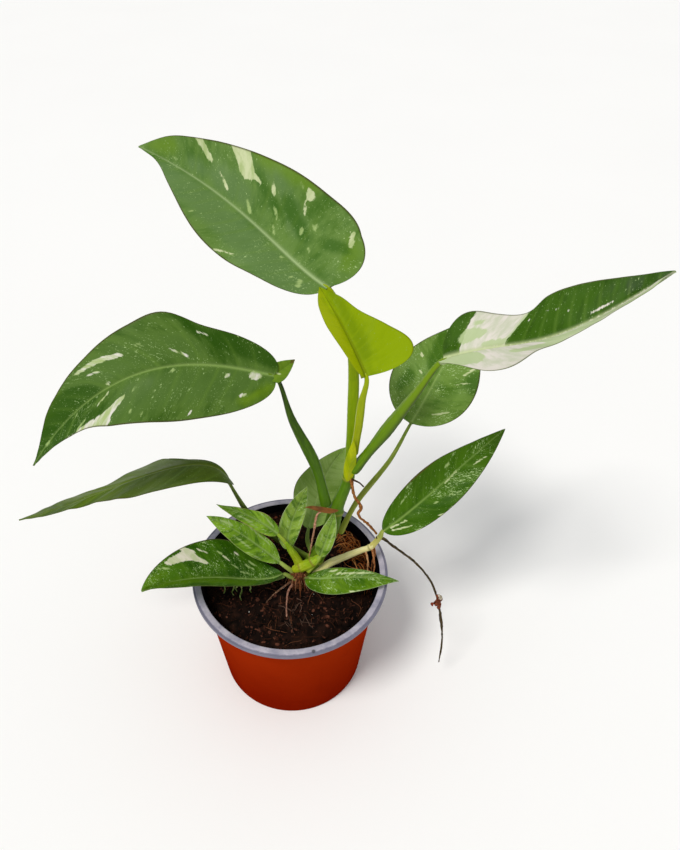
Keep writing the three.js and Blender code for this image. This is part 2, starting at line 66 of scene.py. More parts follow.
# Floor in metres, sky and lamp. The lamp's spread and its turn about each axis are in degrees.
FLOOR_SIZE = 12
SKY_COLOUR = (0.97, 0.98, 1.0, 1.0)
SKY_STRENGTH = 0.53
LAMP_COLOUR = (1.0, 0.98, 0.94)
LAMP_STRENGTH = 2.0
LAMP_SPREAD = 18
LAMP_TURN = (30, 0, -45)

# Pot. The rim has a lower band round its outer edge and a small nick at the front.
POT_HIGH = np.array(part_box("pot")[1]) / MM
RIM_TOP = POT_HIGH[2]
RIM_RADIUS = POT_HIGH[0]
RIM_INNER_RADIUS = 55.2
RIM_DEPTH = 2.6
RIM_STEP = 0.7
RIM_NICK = (14.7, -56.4, 88)
WALL_TOP_RADIUS = 54.6
WALL_BASE_RADIUS = 45.8
WALL_THICKNESS = 1.2
FLOOR_THICKNESS = 1.8
DRAIN_COUNT = 8
DRAIN_RADIUS = 3.2
DRAIN_CIRCLE = 30
POT_SIDES = 160

# Soil: its mean level, how far its rough top starts below that, how far it sinks along the wall
# and rises at the back, and how far the modelled bed reaches down
SOIL_LEVEL = 79.6
SOIL_DROP = 2.0
SOIL_SINK = 5.0
SINK_START = 41
SOIL_RISE = 4.0
RISE_START, RISE_END = 10, 44
SOIL_DEPTH = 12
SOIL_RINGS, SOIL_SIDES = 110, 320

# Leaf blades and scales: the outline's ends and basal lobes, how the side veins sweep, thicknesses
# and relief, the half-width from which a leaf counts as large, and rows and half-columns of points
BASE_ANGLE = 0.02
TIP_ANGLE = 0.05
LOBE_REACH = 0.62 * math.pi
LOBE_PEAK = 6.75
VEIN_SWEEP = 1.5
VEIN_CURVE = 1.3
BLADE_THICKNESS = 0.5
MARGIN_THICKNESS = 0.22
SCALE_THICKNESS = 0.3
VEIN_DEPTH = 0.09
RIPPLE = 0.75
MIDRIB_PACKING = 1.5
LARGE_HALF_WIDTH = 12
LARGE_GRID, LARGE_VEINS = (130, 38), 15
SMALL_GRID, SMALL_VEINS = (70, 24), 9
SCALE_GRID = (40, 25)
SLOPE_STEP = 0.004
RIB_THICKNESS, RIB_TAPER, RIB_LEAST = 0.85, 0.8, 0.18
STROKES = ("cream", "mint", "deep", "brown", "lime", "painted_sheen")
FAR_FROM_STROKES = -9.0

# Stalks: the depth of the groove along them as a share of the radius, its width in radians, the
# size of their bumps, and then, in radii of the head, how far the head lies below and behind the
# blade's base and how far the midrib's start lies below and ahead of it
CHANNEL_DEPTH, CHANNEL_WIDTH = 0.22, 0.55
BUMP_SIZE = 1.6
HEAD_DROP, HEAD_BACK = 1.2, 0.6
RIB_DROP, RIB_AHEAD = 1.4, 3

# How finely curves are traced, and the side of the square of random numbers behind the noise
CURVE_STEPS = 24
MIDRIB_STEPS = 400
NOISE_SIDE = 64

# The shape of each leaf is the CAD's: its midrib from base to tip, the way its upper face looks at
# the base and at the tip, its greatest half-width, and how its halves (left and right, seen from
# above with the tip ahead) differ. "widest" is how far along the outline is widest, "point" how
# drawn out its tip is, "lobes" how far each half reaches back at the base, "folds" each half's
# angle at the base and at the tip in degrees, "spread" each half's breadth from base to tip, and
# "wave" the height, number and start of the waves in its margin. "petiole" is the route of its
# stalk, from the stem to the blade, and "radii" the stalk's thickness along it.
# PLAIN_SHAPE is what a leaf or scale has where its own row says nothing else.
PLAIN_SHAPE = {"lobes": [0, 0], "spread": [[1, 1, 1, 1, 1], [1, 1, 1, 1, 1]], "wave": [0, 1, 0]}
LEAVES = [
    {"name": "top_leaf",
     "midrib": [[22, 28, 271], [-1, 42.3, 284.2], [-28.5, 59, 302], [-69.5, 74, 321.5]],
     "faces": [[0.05, -0.68, 0.73], [-0.2, -0.7, 0.68]], "half_width": 29, "widest": 0.38, "point": 0.9,
     "lobes": [0, 0.14], "folds": [[14, 14], [0, 0]],
     "spread": [[0.7, 0.73, 0.82, 0.87, 0.87, 0.8, 0.64, 0.3, 0.3],
                [1.4, 1.31, 1.2, 1.12, 1.08, 1.08, 1.14, 1.32, 1.25]], "wave": [1.2, 2.2, 0.1],
     "petiole": [[35, 9, 169.3], [35.7, 18, 191], [35, 32.5, 230], [22.9, 30.2, 267.8]],
     "radii": [2.5, 2.6, 2.2, 1.7]},
    {"name": "new_leaf",
     "midrib": [[40.5, -2, 240], [33.8, 8.3, 251], [26.2, 17.6, 262.2], [18, 25.6, 272.6]],
     "faces": [[0.1, -0.75, 0.6], [0.1, -0.6, 0.8]], "half_width": 27, "widest": 0.24, "point": 1.1,
     "lobes": [0, 0.05], "folds": [[56, 30], [0, 0]],
     "spread": [[0.3, 0.4, 0.66, 0.95, 1.4], [1.1, 0.78, 0.61, 0.7, 0.75]],
     "petiole": [[36.5, 5, 183.5], [38, 3, 201], [39, 0, 222], [40.4, -2, 238.6]],
     "radii": [1.6, 1.7, 1.6, 1.4]},
    {"name": "right_leaf",
     "midrib": [[76, -2, 251.3], [105.5, -2, 258.5], [133, 2, 264], [177, 10, 290.5]],
     "faces": [[-0.1, -0.05, 1], [0, 0, 1]], "half_width": 25, "widest": 0.4, "point": 0.8,
     "lobes": [0, 0.07], "folds": [[22, 22], [6, 34]],
     "spread": [[1.3, 0.8, 0.6, 0.83, 0.95, 0.96, 0.85, 0.76, 0.7],
                [0.3, 0.95, 0.52, 0.3, 0.32, 0.38, 0.37, 0.38, 0.4]], "wave": [0.8, 2.4, 0.3],
     "petiole": [[37.3, 3, 172.8], [53, -1, 206], [65, -4, 231.6], [74.5, -2.6, 248.5]],
     "radii": [2.4, 3.1, 2.4, 1.8]},
    {"name": "round_leaf", "midrib": [[69, 28, 183.5], [80.5, 44, 195], [92, 58, 210], [105.5, 68, 227]],
     "faces": [[-0.1, -0.6, 0.8], [0.1, -0.6, 0.85]], "half_width": 24, "widest": 0.4, "point": 0.8,
     "lobes": [0.025, -0.015], "folds": [[0, 0], [0, 0]],
     "spread": [[1, 1, 0.85, 0.65, 0.55], [1, 1, 1, 1, 1]], "wave": [0.8, 1.6, 0.2],
     "petiole": [[31, 8, 115], [39.5, 13, 134.5], [58.5, 22, 161], [68.6, 27.5, 182.2]],
     "radii": [1.6, 1.7, 1.4, 1.1]},
    {"name": "low_right_leaf",
     "midrib": [[56, 6, 117.5], [77.2, 13, 134.9], [99.4, 23.3, 153.2], [124.5, 34, 174]],
     "faces": [[0, -0.7, 0.7], [0, -0.7, 0.7]], "half_width": 15.5, "widest": 0.4, "point": 0.8,
     "folds": [[6, 6], [8, 8]], "spread": [[0.85, 0.89, 0.85, 0.71, 0.6], [0.92, 0.9, 0.93, 0.95, 0.9]],
     "wave": [0.6, 2, 0],
     "petiole": [[50.7, 8, 102.2], [53, 7.6, 107], [54.7, 7, 112], [55.7, 6.2, 116.2]],
     "radii": [1.5, 1.5, 1.3, 1.1]},
    {"name": "left_leaf",
     "midrib": [[-4, 2, 237.5], [-35.5, -4, 248.5], [-75, -14, 246], [-119.5, -30, 207.5]],
     "faces": [[0, -0.75, 0.66], [-0.5, -0.5, 0.6]], "half_width": 27, "widest": 0.42, "point": 0.8,
     "lobes": [0.05, 0.05], "folds": [[10, 10], [10, 10]],
     "spread": [[0.95, 0.99, 1, 1, 0.97, 0.91, 0.82, 0.66, 0.56, 0.49, 0.4, 0.37, 0.35],
                [0.72, 0.69, 0.71, 0.93, 0.85, 0.8, 0.76, 0.74, 0.71, 0.65, 0.53, 0.38, 0.3]],
     "wave": [1.2, 1.8, 0.4],
     "petiole": [[21.5, 5, 143], [16, 6, 171.5], [4, 4, 207], [-3.4, 2.6, 235.3]],
     "radii": [2.2, 2.5, 1.9, 1.3]},
    {"name": "low_left_leaf",
     "midrib": [[-31.3, 6, 160], [-58.5, 7, 171], [-106, 6, 151], [-156, 2, 132.5]],
     "faces": [[0, 0.3, 0.95], [0, 0.42, 0.9]], "half_width": 22, "widest": 0.34, "point": 1,
     "lobes": [0.02, 0.02], "folds": [[-12, -12], [3, 3]],
     "spread": [[0.66, 0.91, 0.88, 0.71, 0.51, 0.51, 0.6, 0.63, 0.6],
                [0.15, 0.36, 0.9, 0.7, 0.45, 0.76, 1.04, 1.3, 1.1]], "wave": [0.6, 1.5, 0],
     "petiole": [[10, 7, 92], [-5, 9.5, 103.5], [-20.5, 12.5, 118.6], [-30.9, 6.4, 158.6]],
     "radii": [1.6, 1.6, 1.4, 1.2]},
    {"name": "back_leaf", "midrib": [[11, 18, 106], [15, 28, 116], [22, 36, 134.5], [34, 42, 152]],
     "faces": [[-0.3, -0.7, 0.6], [-0.3, -0.7, 0.6]], "half_width": 16, "widest": 0.4, "point": 0.9,
     "folds": [[8, 8], [8, 8]], "spread": [[0.9, 0.95, 0.8, 0.65, 0.6], [1, 1, 1, 1, 1]],
     "wave": [0.5, 1.5, 0],
     "petiole": [[14, 7.5, 92], [12, 11, 95], [10.4, 14.5, 99.5], [10.8, 17.3, 104.8]],
     "radii": [1.4, 1.4, 1.3, 1]},
    {"name": "front_left_leaf",
     "midrib": [[-4, -7, 93], [-23.5, -12, 94.7], [-48.4, -19.7, 106.3], [-82.5, -32, 110.4]],
     "faces": [[0.1, -0.1, 0.95], [-0.3, -0.2, 0.9]], "half_width": 22, "widest": 0.45, "point": 0.7,
     "folds": [[45, 42], [25, 25]], "spread": [[0.7, 0.75, 0.9, 0.8, 0.5], [0.7, 0.98, 1.05, 1.05, 1.1]],
     "wave": [0.8, 1.8, 0.3],
     "petiole": [[3.6, -6.6, 87.3], [1.2, -7, 89.5], [-1, -7.1, 91.4], [-2.8, -7, 92.6]],
     "radii": [1.4, 1.4, 1.3, 1.1]},
    {"name": "front_right_leaf",
     "midrib": [[10.3, -8.9, 92], [24.3, -9, 91.7], [43.5, -10, 94], [65.5, -13, 94]],
     "faces": [[0, -0.3, 0.9], [0, -0.3, 0.9]], "half_width": 10, "widest": 0.4, "point": 0.9,
     "lobes": [0, 0.06], "folds": [[5, 5], [5, 5]],
     "spread": [[0.65, 0.6, 0.5, 0.4, 0.4], [1.1, 1.05, 1, 0.9, 0.8]], "wave": [0.4, 2, 0],
     "petiole": [[9.4, -6.9, 87.5], [9.3, -7.7, 88.8], [9.2, -8.2, 90], [9.1, -8.4, 91]],
     "radii": [0.9, 0.9, 0.8, 0.8]},
    {"name": "young_leaf_1",
     "midrib": [[-6.5, 2, 119.5], [-17.5, 4, 128.7], [-28, 5.2, 134.9], [-41.5, 6.5, 140.4]],
     "faces": [[0.2, -0.5, 0.8], [0, -0.5, 0.8]], "half_width": 6, "widest": 0.35, "point": 1,
     "folds": [[18, 5], [22, 10]], "spread": [[1, 1, 1, 1, 1], [1, 0.85, 0.6, 0.5, 0.5]],
     "wave": [1.0, 2.6, 0.2],
     "petiole": [[6.5, -2.5, 93], [1.5, -1, 105], [-2, 0.6, 112.5], [-6, 1.8, 118.4]],
     "radii": [1.6, 1.5, 1.3, 1.1]},
    {"name": "young_leaf_2",
     "midrib": [[-5.7, -4, 100.7], [-18, -3, 114.5], [-30.5, -2, 127], [-46.5, 0, 137.5]],
     "faces": [[0.1, -0.5, 0.8], [0, -0.5, 0.8]], "half_width": 8, "widest": 0.45, "point": 0.9,
     "folds": [[20, 8], [16, 10]], "spread": [[1, 1, 1, 1, 1], [1, 0.9, 0.82, 0.82, 0.82]],
     "wave": [1.2, 2.8, 0.5],
     "petiole": [[3.3, -4.2, 90], [0.5, -4.4, 93.3], [-2.3, -4.3, 96.5], [-5, -4, 99.6]],
     "radii": [1.4, 1.4, 1.3, 1.1]},
    {"name": "young_leaf_3",
     "midrib": [[-1, 2.5, 104.6], [-0.2, 7.5, 115.5], [4, 12.5, 127.5], [10.7, 16.5, 144]],
     "faces": [[-0.2, -0.7, 0.7], [0, -0.8, 0.6]], "half_width": 7, "widest": 0.4, "point": 0.8,
     "folds": [[22, 12], [22, 12]], "wave": [0.8, 2.4, 0],
     "petiole": [[5.5, 2.5, 93], [3.6, 2.5, 96.5], [1.4, 2.4, 100], [-0.7, 2.2, 103.4]],
     "radii": [1.4, 1.4, 1.3, 1.1]},
    {"name": "young_leaf_4",
     "midrib": [[18.3, -5, 107.7], [21.8, -4.5, 121.7], [24.6, -3, 133.2], [26.2, -1, 143]],
     "faces": [[-0.3, -0.7, 0.7], [0, -0.8, 0.6]], "half_width": 5.5, "widest": 0.4, "point": 0.9,
     "folds": [[25, 25], [25, 25]],
     "petiole": [[11.5, -6.5, 95.5], [14, -6, 99], [16.2, -5.5, 102.5], [18, -5.1, 106.5]],
     "radii": [1.2, 1.2, 1.1, 0.9]},
]

# Looks of each leaf. Colours are red, green and blue from 0 to 255: the blade's deeper and lighter
# green, and others where they differ from TONES. "flecks" is how strongly the blade is flecked,
# and "patches" how strongly it is clouded with the deeper green. The lists are strokes of a tone
# over the blade, each from one place to another with its width at both ends, in millimetres:
# along by the row of side veins, and across from the midrib, with the left half negative.
# The paler, duller wash and its tone are a painted sky reflection, where the waxy blade mirrors the sky.
TONES = {
    "fleck": (168, 194, 128), "cream_low": (166, 184, 122), "cream_high": (200, 208, 162),
    "mint_tone": (160, 184, 114), "lime_tone": (106, 138, 20), "painted_sheen_tone": (96, 126, 58),
    "rib": (142, 170, 92), "vein_tone": (98, 130, 46), "edge": (70, 68, 34), "under": (122, 148, 76),
    "brown_tone": (96, 66, 38),
}
LOOKS = {
    "top_leaf": {
        "deep_green": (58, 98, 22), "green": (98, 130, 58), "flecks": 0.4, "rib": (168, 190, 134),
        "lime_tone": (98, 132, 30), "painted_sheen_tone": (92, 122, 68),
        "cream": [(84, 19, 77, 12, 4.6, 3.2), (62, 28, 58, 18, 10.5, 8.5), (56, 18, 51, 17, 4, 1.4),
                  (71, 9, 67, 5, 1.4, 2), (45, 21, 44, 17, 1.2, 1.8), (30, 30, 30, 28, 3, 3.4),
                  (31, 25, 29, 20, 1, 1.4), (9, 29, 6, 23, 2.4, 1.6), (36, -23, 32, -19, 1.8, 1.2)],
        "mint": [(55, 6, 52, 3, 1.6, 2), (41, 12, 39, 9, 1.4, 1.4), (39, 5, 37, 3, 1.8, 1.2),
                 (64, -16, 64, -15, 1.2, 1), (19, 9, 18, 8, 1.4, 1), (25, -3, 24, -4, 1, 1),
                 (46, 28, 45, 27, 1.2, 1), (23, 19, 22, 18, 1.6, 1), (27, 14, 26, 12, 1.8, 1.2),
                 (12, -7, 12, -8, 1, 1), (34, 30, 34, 29, 1, 1), (22, 21, 22, 20, 1, 1),
                 (97, 3, 96, 3, 1.4, 1), (9, -6, 6, -9, 2, 1.4)],
        "deep": [(52, 18, 40, 12, 5, 5), (36, 18, 24, 12, 8, 6), (14, 17, 8, 20, 7, 6),
                 (100, 14, 108, 8, 2, 1)],
        "lime": [(52, 27, 32, 33, 6, 8), (98, 8, 108, 3, 6, 4), (8, 26, 2, 12, 5, 4)],
        "painted_sheen": [(10, -12, 94, -6, 20, 12), (60, 8, 86, 5, 14, 6), (30, 14, 44, 24, 10, 8)],
    },
    # Painted light and shade: the lime stroke over the left half is partly the leaf's own lime and partly
    # painted light, that half facing the lamp; the deep stroke beside the crease is painted shade.
    "new_leaf": {
        "deep_green": (114, 140, 0), "green": (136, 160, 0), "patches": 0.1, "edge": (124, 138, 6),
        "rib": (112, 126, 4), "lime_tone": (168, 182, 4), "vein_tone": (142, 164, 8),
        "under": (140, 156, 8), "lime": [(-4, -8, 60, -8, 12, 14)], "deep": [(54, 4, 10, 4, 4, 6)],
    },
    "right_leaf": {
        "deep_green": (34, 66, 0), "green": (56, 92, 10), "flecks": 0.3, "cream_low": (196, 200, 176),
        "cream_high": (220, 214, 204), "edge": (92, 96, 60), "rib": (190, 202, 150),
        "mint_tone": (176, 194, 142),
        "cream": [(18.5, 0, 18.5, -30, 21, 21), (-12, 12, 120, 12, 24, 24), (71, -3, 81, -3, 1.8, 0.8),
                  (34, -11, 35, -11, 1, 1), (45, -13, 46, -13, 1, 1), (51, -12, 52, -12, 1, 1),
                  (58, -9, 59, -9, 1, 1)],
        "mint": [(-2, 5, 11, 6, 10, 11), (10, -8, 14, -8, 8, 5), (19, -2, 28, -2, 3, 3),
                 (28.5, -4, 28.5, -15, 1.6, 1.6), (26, 9, 38, 8, 4, 6), (11, -14, 13, -15, 3, 1),
                 (42, 4, 118, 3.5, 5.5, 4), (46, 9, 62, 8, 1.6, 1)],
    },
    "round_leaf": {
        "deep_green": (58, 98, 14), "green": (106, 138, 58), "flecks": 0.7,
        "cream": [(8, 8, 10, 15, 1.2, 1.4), (34, 13, 38, 16, 1.4, 1.8), (28, 12, 29, 18, 0.8, 0.8),
                  (32, -14, 32, -13, 1.2, 1.2), (26, -10, 26, -9, 1.2, 1), (40, -16, 40, -15, 1, 1)],
        "deep": [(52, -8, 34, -5, 10, 8), (32, 18, 24, 22, 7, 6), (20, -14, 12, -16, 7, 5)],
    },
    "low_right_leaf": {
        "deep_green": (44, 82, 0), "green": (64, 102, 8), "flecks": 0.9, "rib": (128, 158, 76),
        "brown_tone": (96, 80, 40),
        "cream": [(5, 1, 13, 3, 1.8, 1), (4, 3, 10, 7, 1.8, 1), (63, 4, 70, 5, 0.6, 1),
                  (46, 1, 57, 0, 0.8, 1), (20, 13, 21, 14, 1.2, 1.2), (26, 14, 27, 14, 1, 1.4)],
        "mint": [(14, -7, 17, -8, 1, 1.4), (38, 8, 39, 8, 1.4, 1.4), (48, -6, 50, -6, 1.2, 1.6),
                 (30, 6, 31, 6, 1, 1.4)], "deep": [(6, 2, 12, 5, 1, 1), (28, 8, 46, 10, 5, 3)],
        "brown": [(8, -13.5, 50, -12.5, 0.6, 0.6)],
    },
    "left_leaf": {
        "deep_green": (42, 78, 6), "green": (84, 114, 44), "flecks": 0.45, "painted_sheen_tone": (78, 108, 44),
        "rib_share": 0.8, "cream_high": (220, 216, 206),
        "cream": [(62, 11, 68, 13.5, 2.8, 3), (68, 13.5, 77, 14, 3, 1.6), (74, 9, 78, 10, 1.4, 0.6),
                  (79, 2, 80, 1, 1.8, 1.2), (80, -3, 84, -6, 1.6, 0.8), (45, 8, 41, 4, 0.8, 1.8),
                  (29, 15, 25, 14, 1, 1.6), (10, -2, 8, -2, 4.4, 4), (10, -12, 11, -13, 1.6, 2),
                  (22, -4, 22, -5, 1.8, 1.6), (70, -9, 76, -15, 3, 8), (76, -16.5, 89, -14, 10, 8.5),
                  (89, -14, 106, -9, 8.5, 4), (30, -23, 30, -24, 1.6, 1.6)],
        "mint": [(54, -10, 54, -11, 1.2, 1.2), (65, -7, 65, -6, 1.2, 1.2), (62, -16, 62, -17, 1.4, 1.4),
                 (55, -20, 55, -19, 1.6, 1.4), (49, -3, 48, -2, 1.6, 2), (98, -2, 100, -3, 1.6, 1),
                 (121, 0, 124, 0, 1.6, 1), (52, 13, 53, 12, 1, 1), (88, -8, 92, -9, 1, 1.4)],
        "deep": [(3, 8, 16, 12, 10, 12), (92, 4, 134, 0, 18, 6), (24, 10, 30, 18, 4, 4),
                 (80, -9, 96, -6, 5, 6)], "lime": [(92, 14, 112, 9, 6, 4), (2, -6, 8, -14, 4, 6)],
        "painted_sheen": [(14, -8, 70, -12, 16, 20), (40, 8, 84, 10, 14, 16)],
    },
    "low_left_leaf": {
        "deep_green": (58, 82, 4), "green": (80, 102, 20), "flecks": 0.2, "rib": (118, 134, 58),
        "painted_sheen_tone": (88, 106, 40), "under": (140, 160, 96), "painted_sheen": [(20, 4, 100, 6, 8, 6)],
    },
    # Partly painted light: these greens are the leaf's own pale green lifted further to make up for the
    # shade that falls on it.
    "back_leaf": {
        "deep_green": (118, 150, 60), "green": (150, 178, 96), "flecks": 0.4, "rib": (166, 190, 116),
    },
    "front_left_leaf": {
        "deep_green": (34, 72, 0), "green": (66, 106, 10), "patches": 0.7, "flecks": 0.7,
        "cream_low": (186, 194, 150), "cream_high": (220, 214, 196), "lime_tone": (84, 122, 6),
        "brown": [(84, 4, 92, 0, 2, 8)],
        "cream": [(64, 11, 50, 14, 3, 6), (52, 14, 45, 9, 6, 2.4), (53, 19, 47, 16, 3, 1.4),
                  (44, 17, 40, 14, 1.4, 0.8), (32, 12, 30, 10, 1.2, 1), (24, 15, 22, 14, 1, 1)],
        "mint": [(34, 15, 33, 14, 1, 1), (20, 8, 16, 6, 2, 1), (66, 8, 70, 9, 1.4, 1),
                 (84, -5, 66, -12, 1.2, 1.4), (62, -13, 50, -16, 1.2, 0.8), (26, 4, 20, 3, 1.2, 0.8),
                 (16, 10, 12, 8, 1.6, 1), (30, 8, 27, 6, 1, 0.8)],
        "deep": [(50, 20, 44, 18, 3, 3), (2, 8, 8, 14, 4, 5)],
        "lime": [(72, -2, 20, -9, 8, 14), (84, 2, 70, 6, 8, 5)],
    },
    "front_right_leaf": {
        "deep_green": (50, 90, 0), "green": (100, 136, 18), "patches": 0.75, "flecks": 0.9,
        "edge": (150, 172, 110),
        "cream": [(16, -2.5, 36, -2.4, 1.6, 1), (20, 9.6, 34, 8.6, 1.4, 1.2), (8, -4, 14, -4.5, 1, 1)],
    },
    "young_leaf_1": {
        "deep_green": (50, 94, 4), "green": (138, 178, 46), "patches": 0.6, "flecks": 1.0,
        "edge": (170, 150, 100),
        "mint": [(4, 2, 12, 5, 1, 0.6), (16, -3, 26, -2, 1, 0.6), (10, -4, 15, -4, 0.8, 0.6),
                 (20, 2, 27, 2, 0.8, 0.5)],
    },
    "young_leaf_2": {
        "deep_green": (50, 94, 4), "green": (126, 166, 40), "patches": 0.7, "flecks": 1.0,
        "edge": (166, 182, 110),
        "mint": [(10, 5, 24, 6, 1.4, 1), (20, -4, 34, -3, 1, 0.8), (38, 2, 46, 1, 1.4, 1),
                 (8, -6, 16, -7, 1, 0.8)],
    },
    "young_leaf_3": {
        "deep_green": (50, 94, 4), "green": (144, 174, 68), "patches": 0.65, "flecks": 1.0,
        "edge": (186, 196, 150), "mint": [(8, -6, 24, -7, 1.2, 1), (14, 5, 30, 5, 1, 0.8)],
    },
    "young_leaf_4": {
        "deep_green": (50, 94, 4), "green": (134, 166, 60), "patches": 0.7, "flecks": 1.0,
        "edge": (190, 200, 156), "mint": [(6, 3, 26, 3, 1, 0.8), (10, -3, 18, -3, 0.8, 0.6)],
    },
    "new_leaf_sheath": {
        "deep_green": (138, 156, 0), "green": (176, 184, 8),
    },
    "left_leaf_ear": {
        "vein_tone": (112, 140, 40), "deep_green": (70, 104, 8), "green": (106, 136, 34),
        "edge": (104, 112, 40), "brown_tone": (88, 84, 30), "brown": [(13.5, 0, 18, 0, 2, 10)],
        "cream": [(4, -1, 5, 1, 0.8, 1.2)],
    },
    "dry_sheath": {
        "deep_green": (70, 42, 18), "green": (132, 84, 40), "rib": (120, 76, 40),
    },
}


# Numbers and curves

def unit(vectors):
    return vectors / np.linalg.norm(vectors, axis=-1, keepdims=True)


def smooth_step(low, high, value):
    share = np.clip((value - low) / (high - low), 0, 1)
    return share * share * (3 - 2 * share)


def station(values, share):
    """A smooth value from a list spaced evenly over a share from 0 to 1"""
    values = np.asarray(values, float)
    place = np.clip(share, 0, 1) * (len(values) - 1)
    index = np.minimum(place.astype(int), len(values) - 2)
    before = values[np.maximum(index - 1, 0)]
    start = values[index]
    end = values[index + 1]
    after = values[np.minimum(index + 2, len(values) - 1)]
    t = place - index
    bend = before - 2.5 * start + 2 * end - after / 2
    twist = (after - before) / 2 + 1.5 * (start - end)
    return start + t * ((end - before) / 2 + t * (bend + t * twist))


def value_noise(x, y, size, seed):
    """Smooth random heights from 0 to 1, with features of about the given size"""
    table = np.random.default_rng(seed).random((NOISE_SIDE, NOISE_SIDE))
    column, row = x / size, y / size
    left, low = np.floor(column), np.floor(row)
    across, up = column - left, row - low
    across, up = across * across * (3 - 2 * across), up * up * (3 - 2 * up)
    left, low = left.astype(int) % NOISE_SIDE, low.astype(int) % NOISE_SIDE
    right, high = (left + 1) % NOISE_SIDE, (low + 1) % NOISE_SIDE
    bottom = table[low, left] * (1 - across) + table[low, right] * across
    top = table[high, left] * (1 - across) + table[high, right] * across
    return bottom * (1 - up) + top * up


def through(points, shares):
    """Points of a smooth curve through a list of points, at shares of its length, and its length"""
    knots = np.asarray(points, float)
    knots = np.vstack([2 * knots[0] - knots[1], knots, 2 * knots[-1] - knots[-2]])
    fine = []
    t = np.linspace(0, 1, CURVE_STEPS, endpoint=False)[:, None]
    for p0, p1, p2, p3 in zip(knots, knots[1:], knots[2:], knots[3:]):
        s0, s1, s2 = (max(np.linalg.norm(b - a), 1e-4) ** 0.5 for a, b in ((p0, p1), (p1, p2), (p2, p3)))
        m1 = (p1 - p0) / s0 - (p2 - p0) / (s0 + s1) + (p2 - p1) / s1
        m2 = (p2 - p1) / s1 - (p3 - p1) / (s1 + s2) + (p3 - p2) / s2
        m1, m2 = m1 * s1, m2 * s1
        bend = 3 * (p2 - p1) - 2 * m1 - m2
        fine.append(p1 + t * m1 + t * t * bend + t ** 3 * (2 * (p1 - p2) + m1 + m2))
    fine = np.vstack([*fine, knots[-2:-1]])
    run = np.concatenate([[0], np.cumsum(np.linalg.norm(np.diff(fine, axis=0), axis=1))])
    place = np.stack([np.interp(np.asarray(shares) * run[-1], run, fine[:, i]) for i in range(3)], axis=-1)
    return place, run[-1]


class Midrib:
    """The cubic curve through four points at its ends and its thirds, by shares of its length"""

    def __init__(self, points):
        a, b, c, d = (np.asarray(point, float) for point in points)
        self.poles = (a, (18 * b - 5 * a - 9 * c + 2 * d) / 6, (18 * c - 5 * d - 9 * b + 2 * a) / 6, d)
        self.steps = np.linspace(0, 1, MIDRIB_STEPS)
        pieces = np.linalg.norm(np.diff(self.at_step(self.steps), axis=0), axis=1)
        self.run = np.concatenate([[0], np.cumsum(pieces)])
        self.length = self.run[-1]

    def at_step(self, t):
        t = np.asarray(t)[..., None]
        a, b, c, d = self.poles
        return (1 - t) ** 3 * a + 3 * (1 - t) ** 2 * t * b + 3 * (1 - t) * t * t * c + t ** 3 * d

    def at(self, share):
        """Places and directions at shares of the length"""
        t = np.interp(share, self.run / self.length, self.steps)
        a, b, c, d = self.poles
        slope = np.asarray(t)[..., None]
        slope = (1 - slope) ** 2 * (b - a) + 2 * (1 - slope) * slope * (c - b) + slope ** 2 * (d - c)
        return self.at_step(t), unit(slope)


# Meshes

def make_object(name, points, faces, attributes=None, flat_from=None):
    """A mesh object from points in millimetres; its faces from number flat_from on are flat"""
    mesh = bpy.data.meshes.new(name)
    mesh.from_pydata((points * MM).tolist(), [], [tuple(face) for face in faces])
    smooth = np.ones(len(mesh.polygons), bool)
    if flat_from is not None:
        smooth[flat_from:] = False
    mesh.polygons.foreach_set("use_smooth", smooth)
    for key, values in (attributes or {}).items():
        layer = mesh.attributes.new(key, "FLOAT_VECTOR", "POINT")
        layer.data.foreach_set("vector", np.asarray(values, np.float32).ravel())
    mesh.update()
    piece = bpy.data.objects.new(name, mesh)
    bpy.context.scene.collection.objects.link(piece)
    return piece


def place_piece(piece, material, slot, *nodes):
    piece.data.materials.append(material)
    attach(piece, "root")
    if nodes:
        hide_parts(*nodes)
    return piece


def grid_faces(rows, columns, start=0, closed=False):
    """Quads of a grid of points numbered row by row; closed joins its last column to its first"""
    numbers = start + np.arange(rows * columns).reshape(rows, columns)
    if closed:
        numbers = np.hstack([numbers, numbers[:, :1]])
    corners = [numbers[:-1, :-1], numbers[:-1, 1:], numbers[1:, 1:], numbers[1:, :-1]]
    return np.stack(corners, -1).reshape(-1, 4)


# Materials

def linear(colour):
    """A colour from 0 to 255 as Blender's linear one"""
    share = np.asarray(colour, float) / 255
    value = np.where(share > 0.04, ((share + 0.055) / 1.055) ** 2.4, share / 12.92)
    return (*value.tolist(), 1.0)


